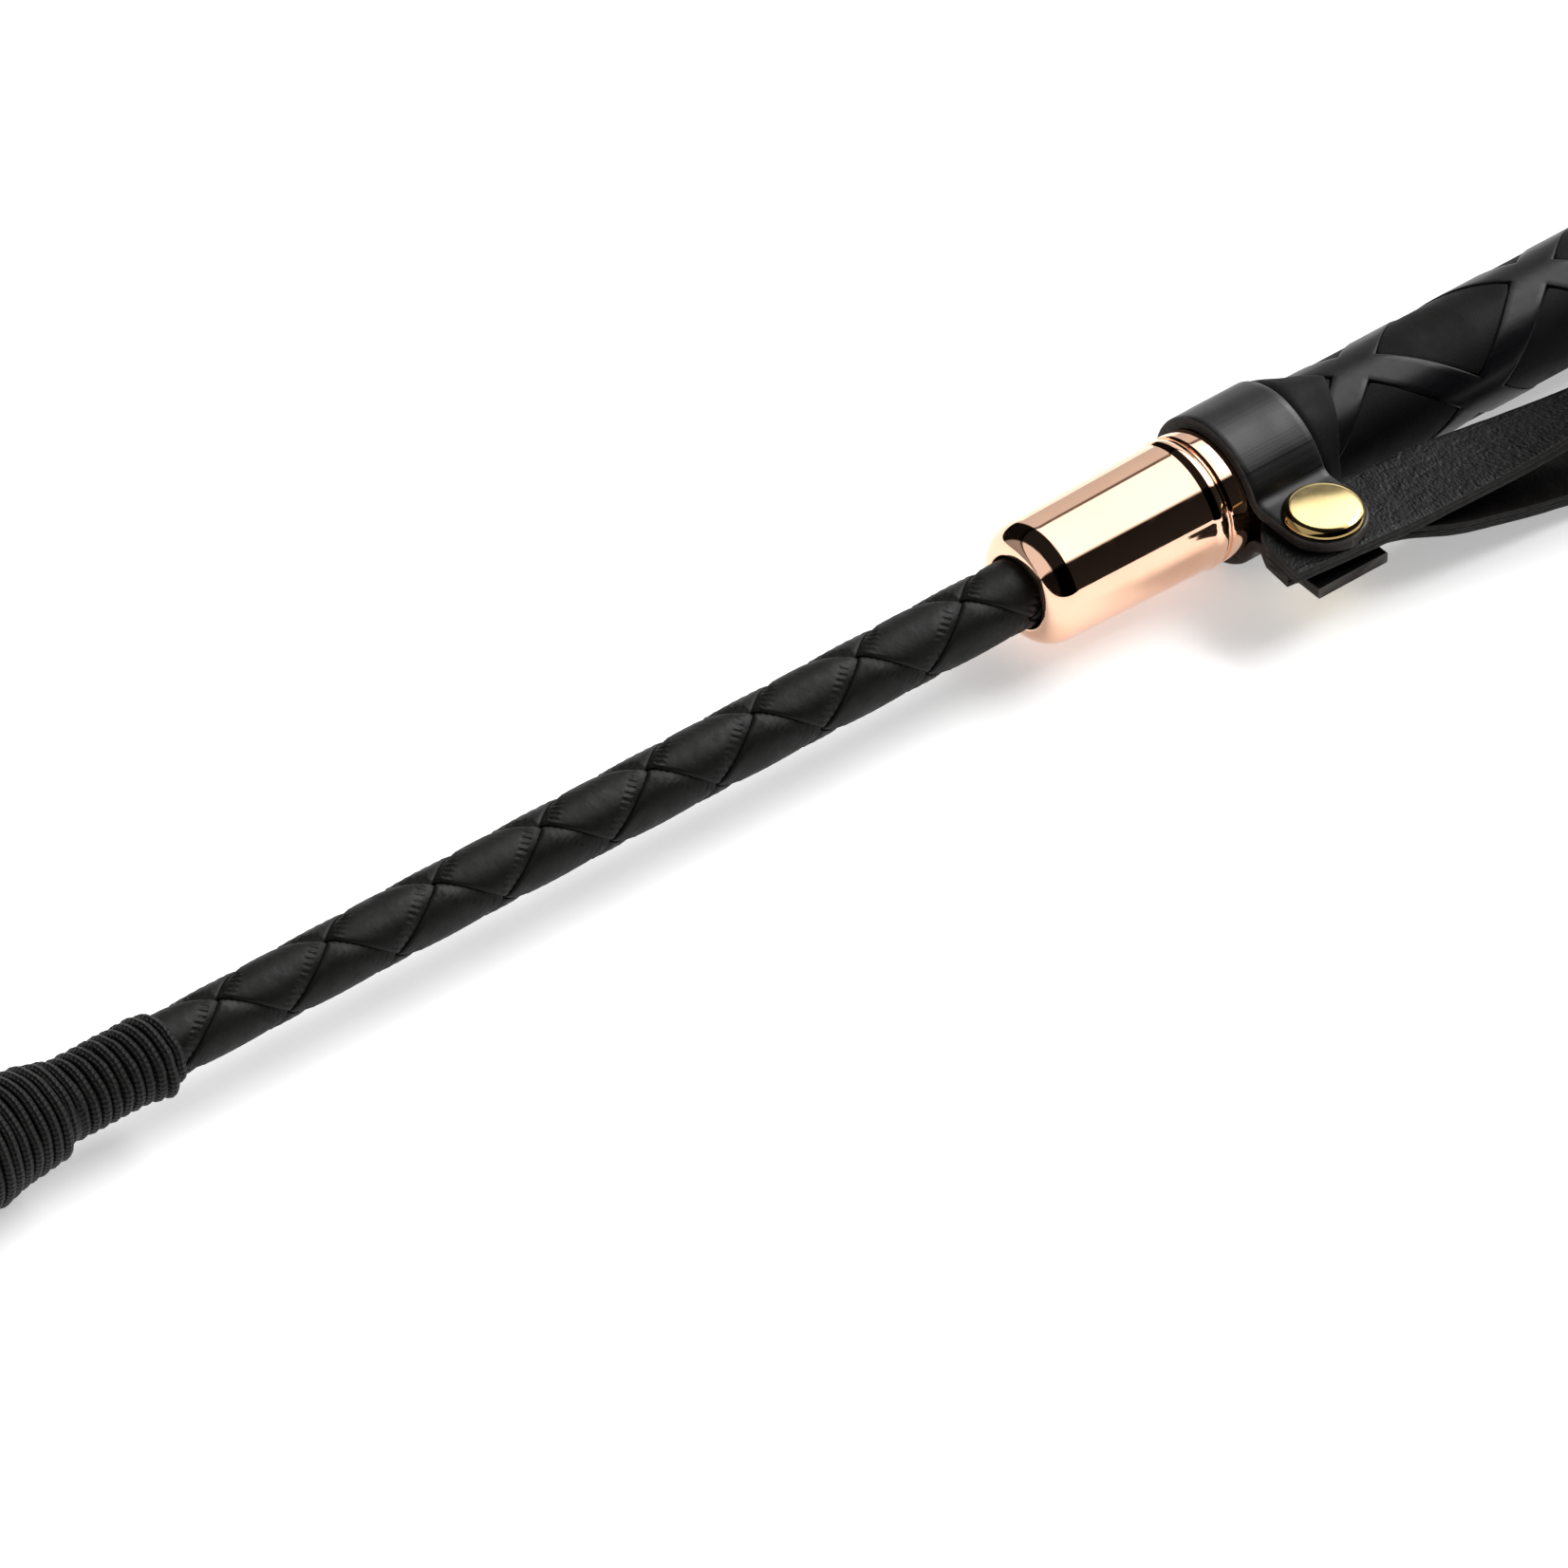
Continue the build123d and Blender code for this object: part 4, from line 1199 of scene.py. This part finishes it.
def build():
    rose_gold = polished("rose_gold", (0.98, 0.62, 0.44), (0.88, 0.51, 0.34), 0.03)
    brass = polished("rivet_brass", (0.96, 0.76, 0.38), (0.72, 0.50, 0.20), 0.09)
    plait = plait_leather()
    thread = thread_material()
    band_leather = leather("collar_leather", (0.0042, 0.004, 0.004), (0.035, 0.032, 0.03), 0.38,
                           grain=0.22, grain_depth=0.015, specular=0.33)
    strap_leather = leather("strap_leather", (0.0048, 0.0048, 0.0046), (0.04, 0.039, 0.037), 0.46,
                            grain=0.30, grain_depth=0.085, specular=0.18, crease_depth=0.04)
    lining = leather("strap_lining", (0.007, 0.0055, 0.0045), (0.03, 0.026, 0.022), 0.75,
                     grain=0.3, grain_depth=0.06, specular=0.15)
    keeper = leather("keeper_leather", (0.0045, 0.0042, 0.0042), (0.04, 0.036, 0.033), 0.44,
                     grain=0.5, grain_depth=0.1, specular=0.20, crease_depth=0.04)
    band_edge = cut_edge("collar_cut_edge", (0.018, 0.013, 0.011), (0.085, 0.078, 0.07))
    strap_edge = cut_edge("strap_cut_edge", (0.0035, 0.0030, 0.0026), (0.030, 0.028, 0.025))
    keeper_edge = cut_edge("keeper_cut_edge", (0.008, 0.006, 0.005), (0.045, 0.038, 0.032))
    matte = matte_material("grip_matte", (0.0036, 0.0035, 0.0033))

    for number in range(1, 2 * THONGS_EACH_WAY + 1):
        stand_in(thong(number, plait), "crop", "plait_leather", f"braid_thong_{number}")
    thin = whipping("whipping_thin", THIN_START - 1.2, THIN_END + 0.2, thin_radius, thread)
    thick = whipping("whipping_thick", THICK_START, THIN_START + 1.2, thick_radius, thread)
    for piece, slot, node in (
        (thin, "whipping_thread", "thin_whipping"),
        (thick, "whipping_thread", "thick_whipping"),
        (ferrule(rose_gold), "rose_gold", "ferrule_shell"),
        (pommel(rose_gold), "rose_gold", "pommel_cap"),
        (grip_sleeve(gloss_material()), "grip_gloss", "grip_sleeve"),
        (grip_pads(matte), "grip_matte", "grip_pads"),
        (grip_hem(matte), "grip_matte", "grip_hem"),
    ):
        stand_in(piece, "crop", slot, node)
    stand_in(collar_band(band_leather, band_edge), "collar", "collar_leather", "collar_band")
    for name, node, facing in (("rivet_cap_dome", "rivet_cap", 1), ("rivet_back_dome", "rivet_back_cap", -1)):
        stand_in(rivet_head(name, node, facing, brass), "collar", "rivet_brass", node)

    half = STRAP_WIDTH / 2
    outer = strap_ply("wrist_strap_outer", PLY_MIDDLE, half, strap_leather, strap_edge)
    inner = strap_ply("wrist_strap_lining", -PLY_MIDDLE, half - 0.08, lining, strap_edge)
    stand_in(outer, None, "strap_leather", "wrist_loop_outer", "strap_end_upper", "strap_end_lower")
    stand_in(inner, None, "strap_lining", "wrist_loop_lining")
    for ply in (outer, inner):
        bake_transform(ply)

    flap = keeper_flap(keeper, keeper_edge)
    stand_in(flap, None, "keeper_leather", "keeper_flap")
    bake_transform(flap)

    inner_parts = {
        "core_rod": rod_material(), "shaft_underlay": filler_material(), "keeper_root": keeper,
        "ferrule_bush": bush_material(), "grip_core": wood_material(), "rivet_shank": brass,
    }
    for node, material in inner_parts.items():
        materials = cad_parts[node].data.materials
        materials.clear()
        materials.append(material)


make_camera()
make_floor()
make_light()
bpy.context.scene.view_settings.view_transform = "Standard"
build()
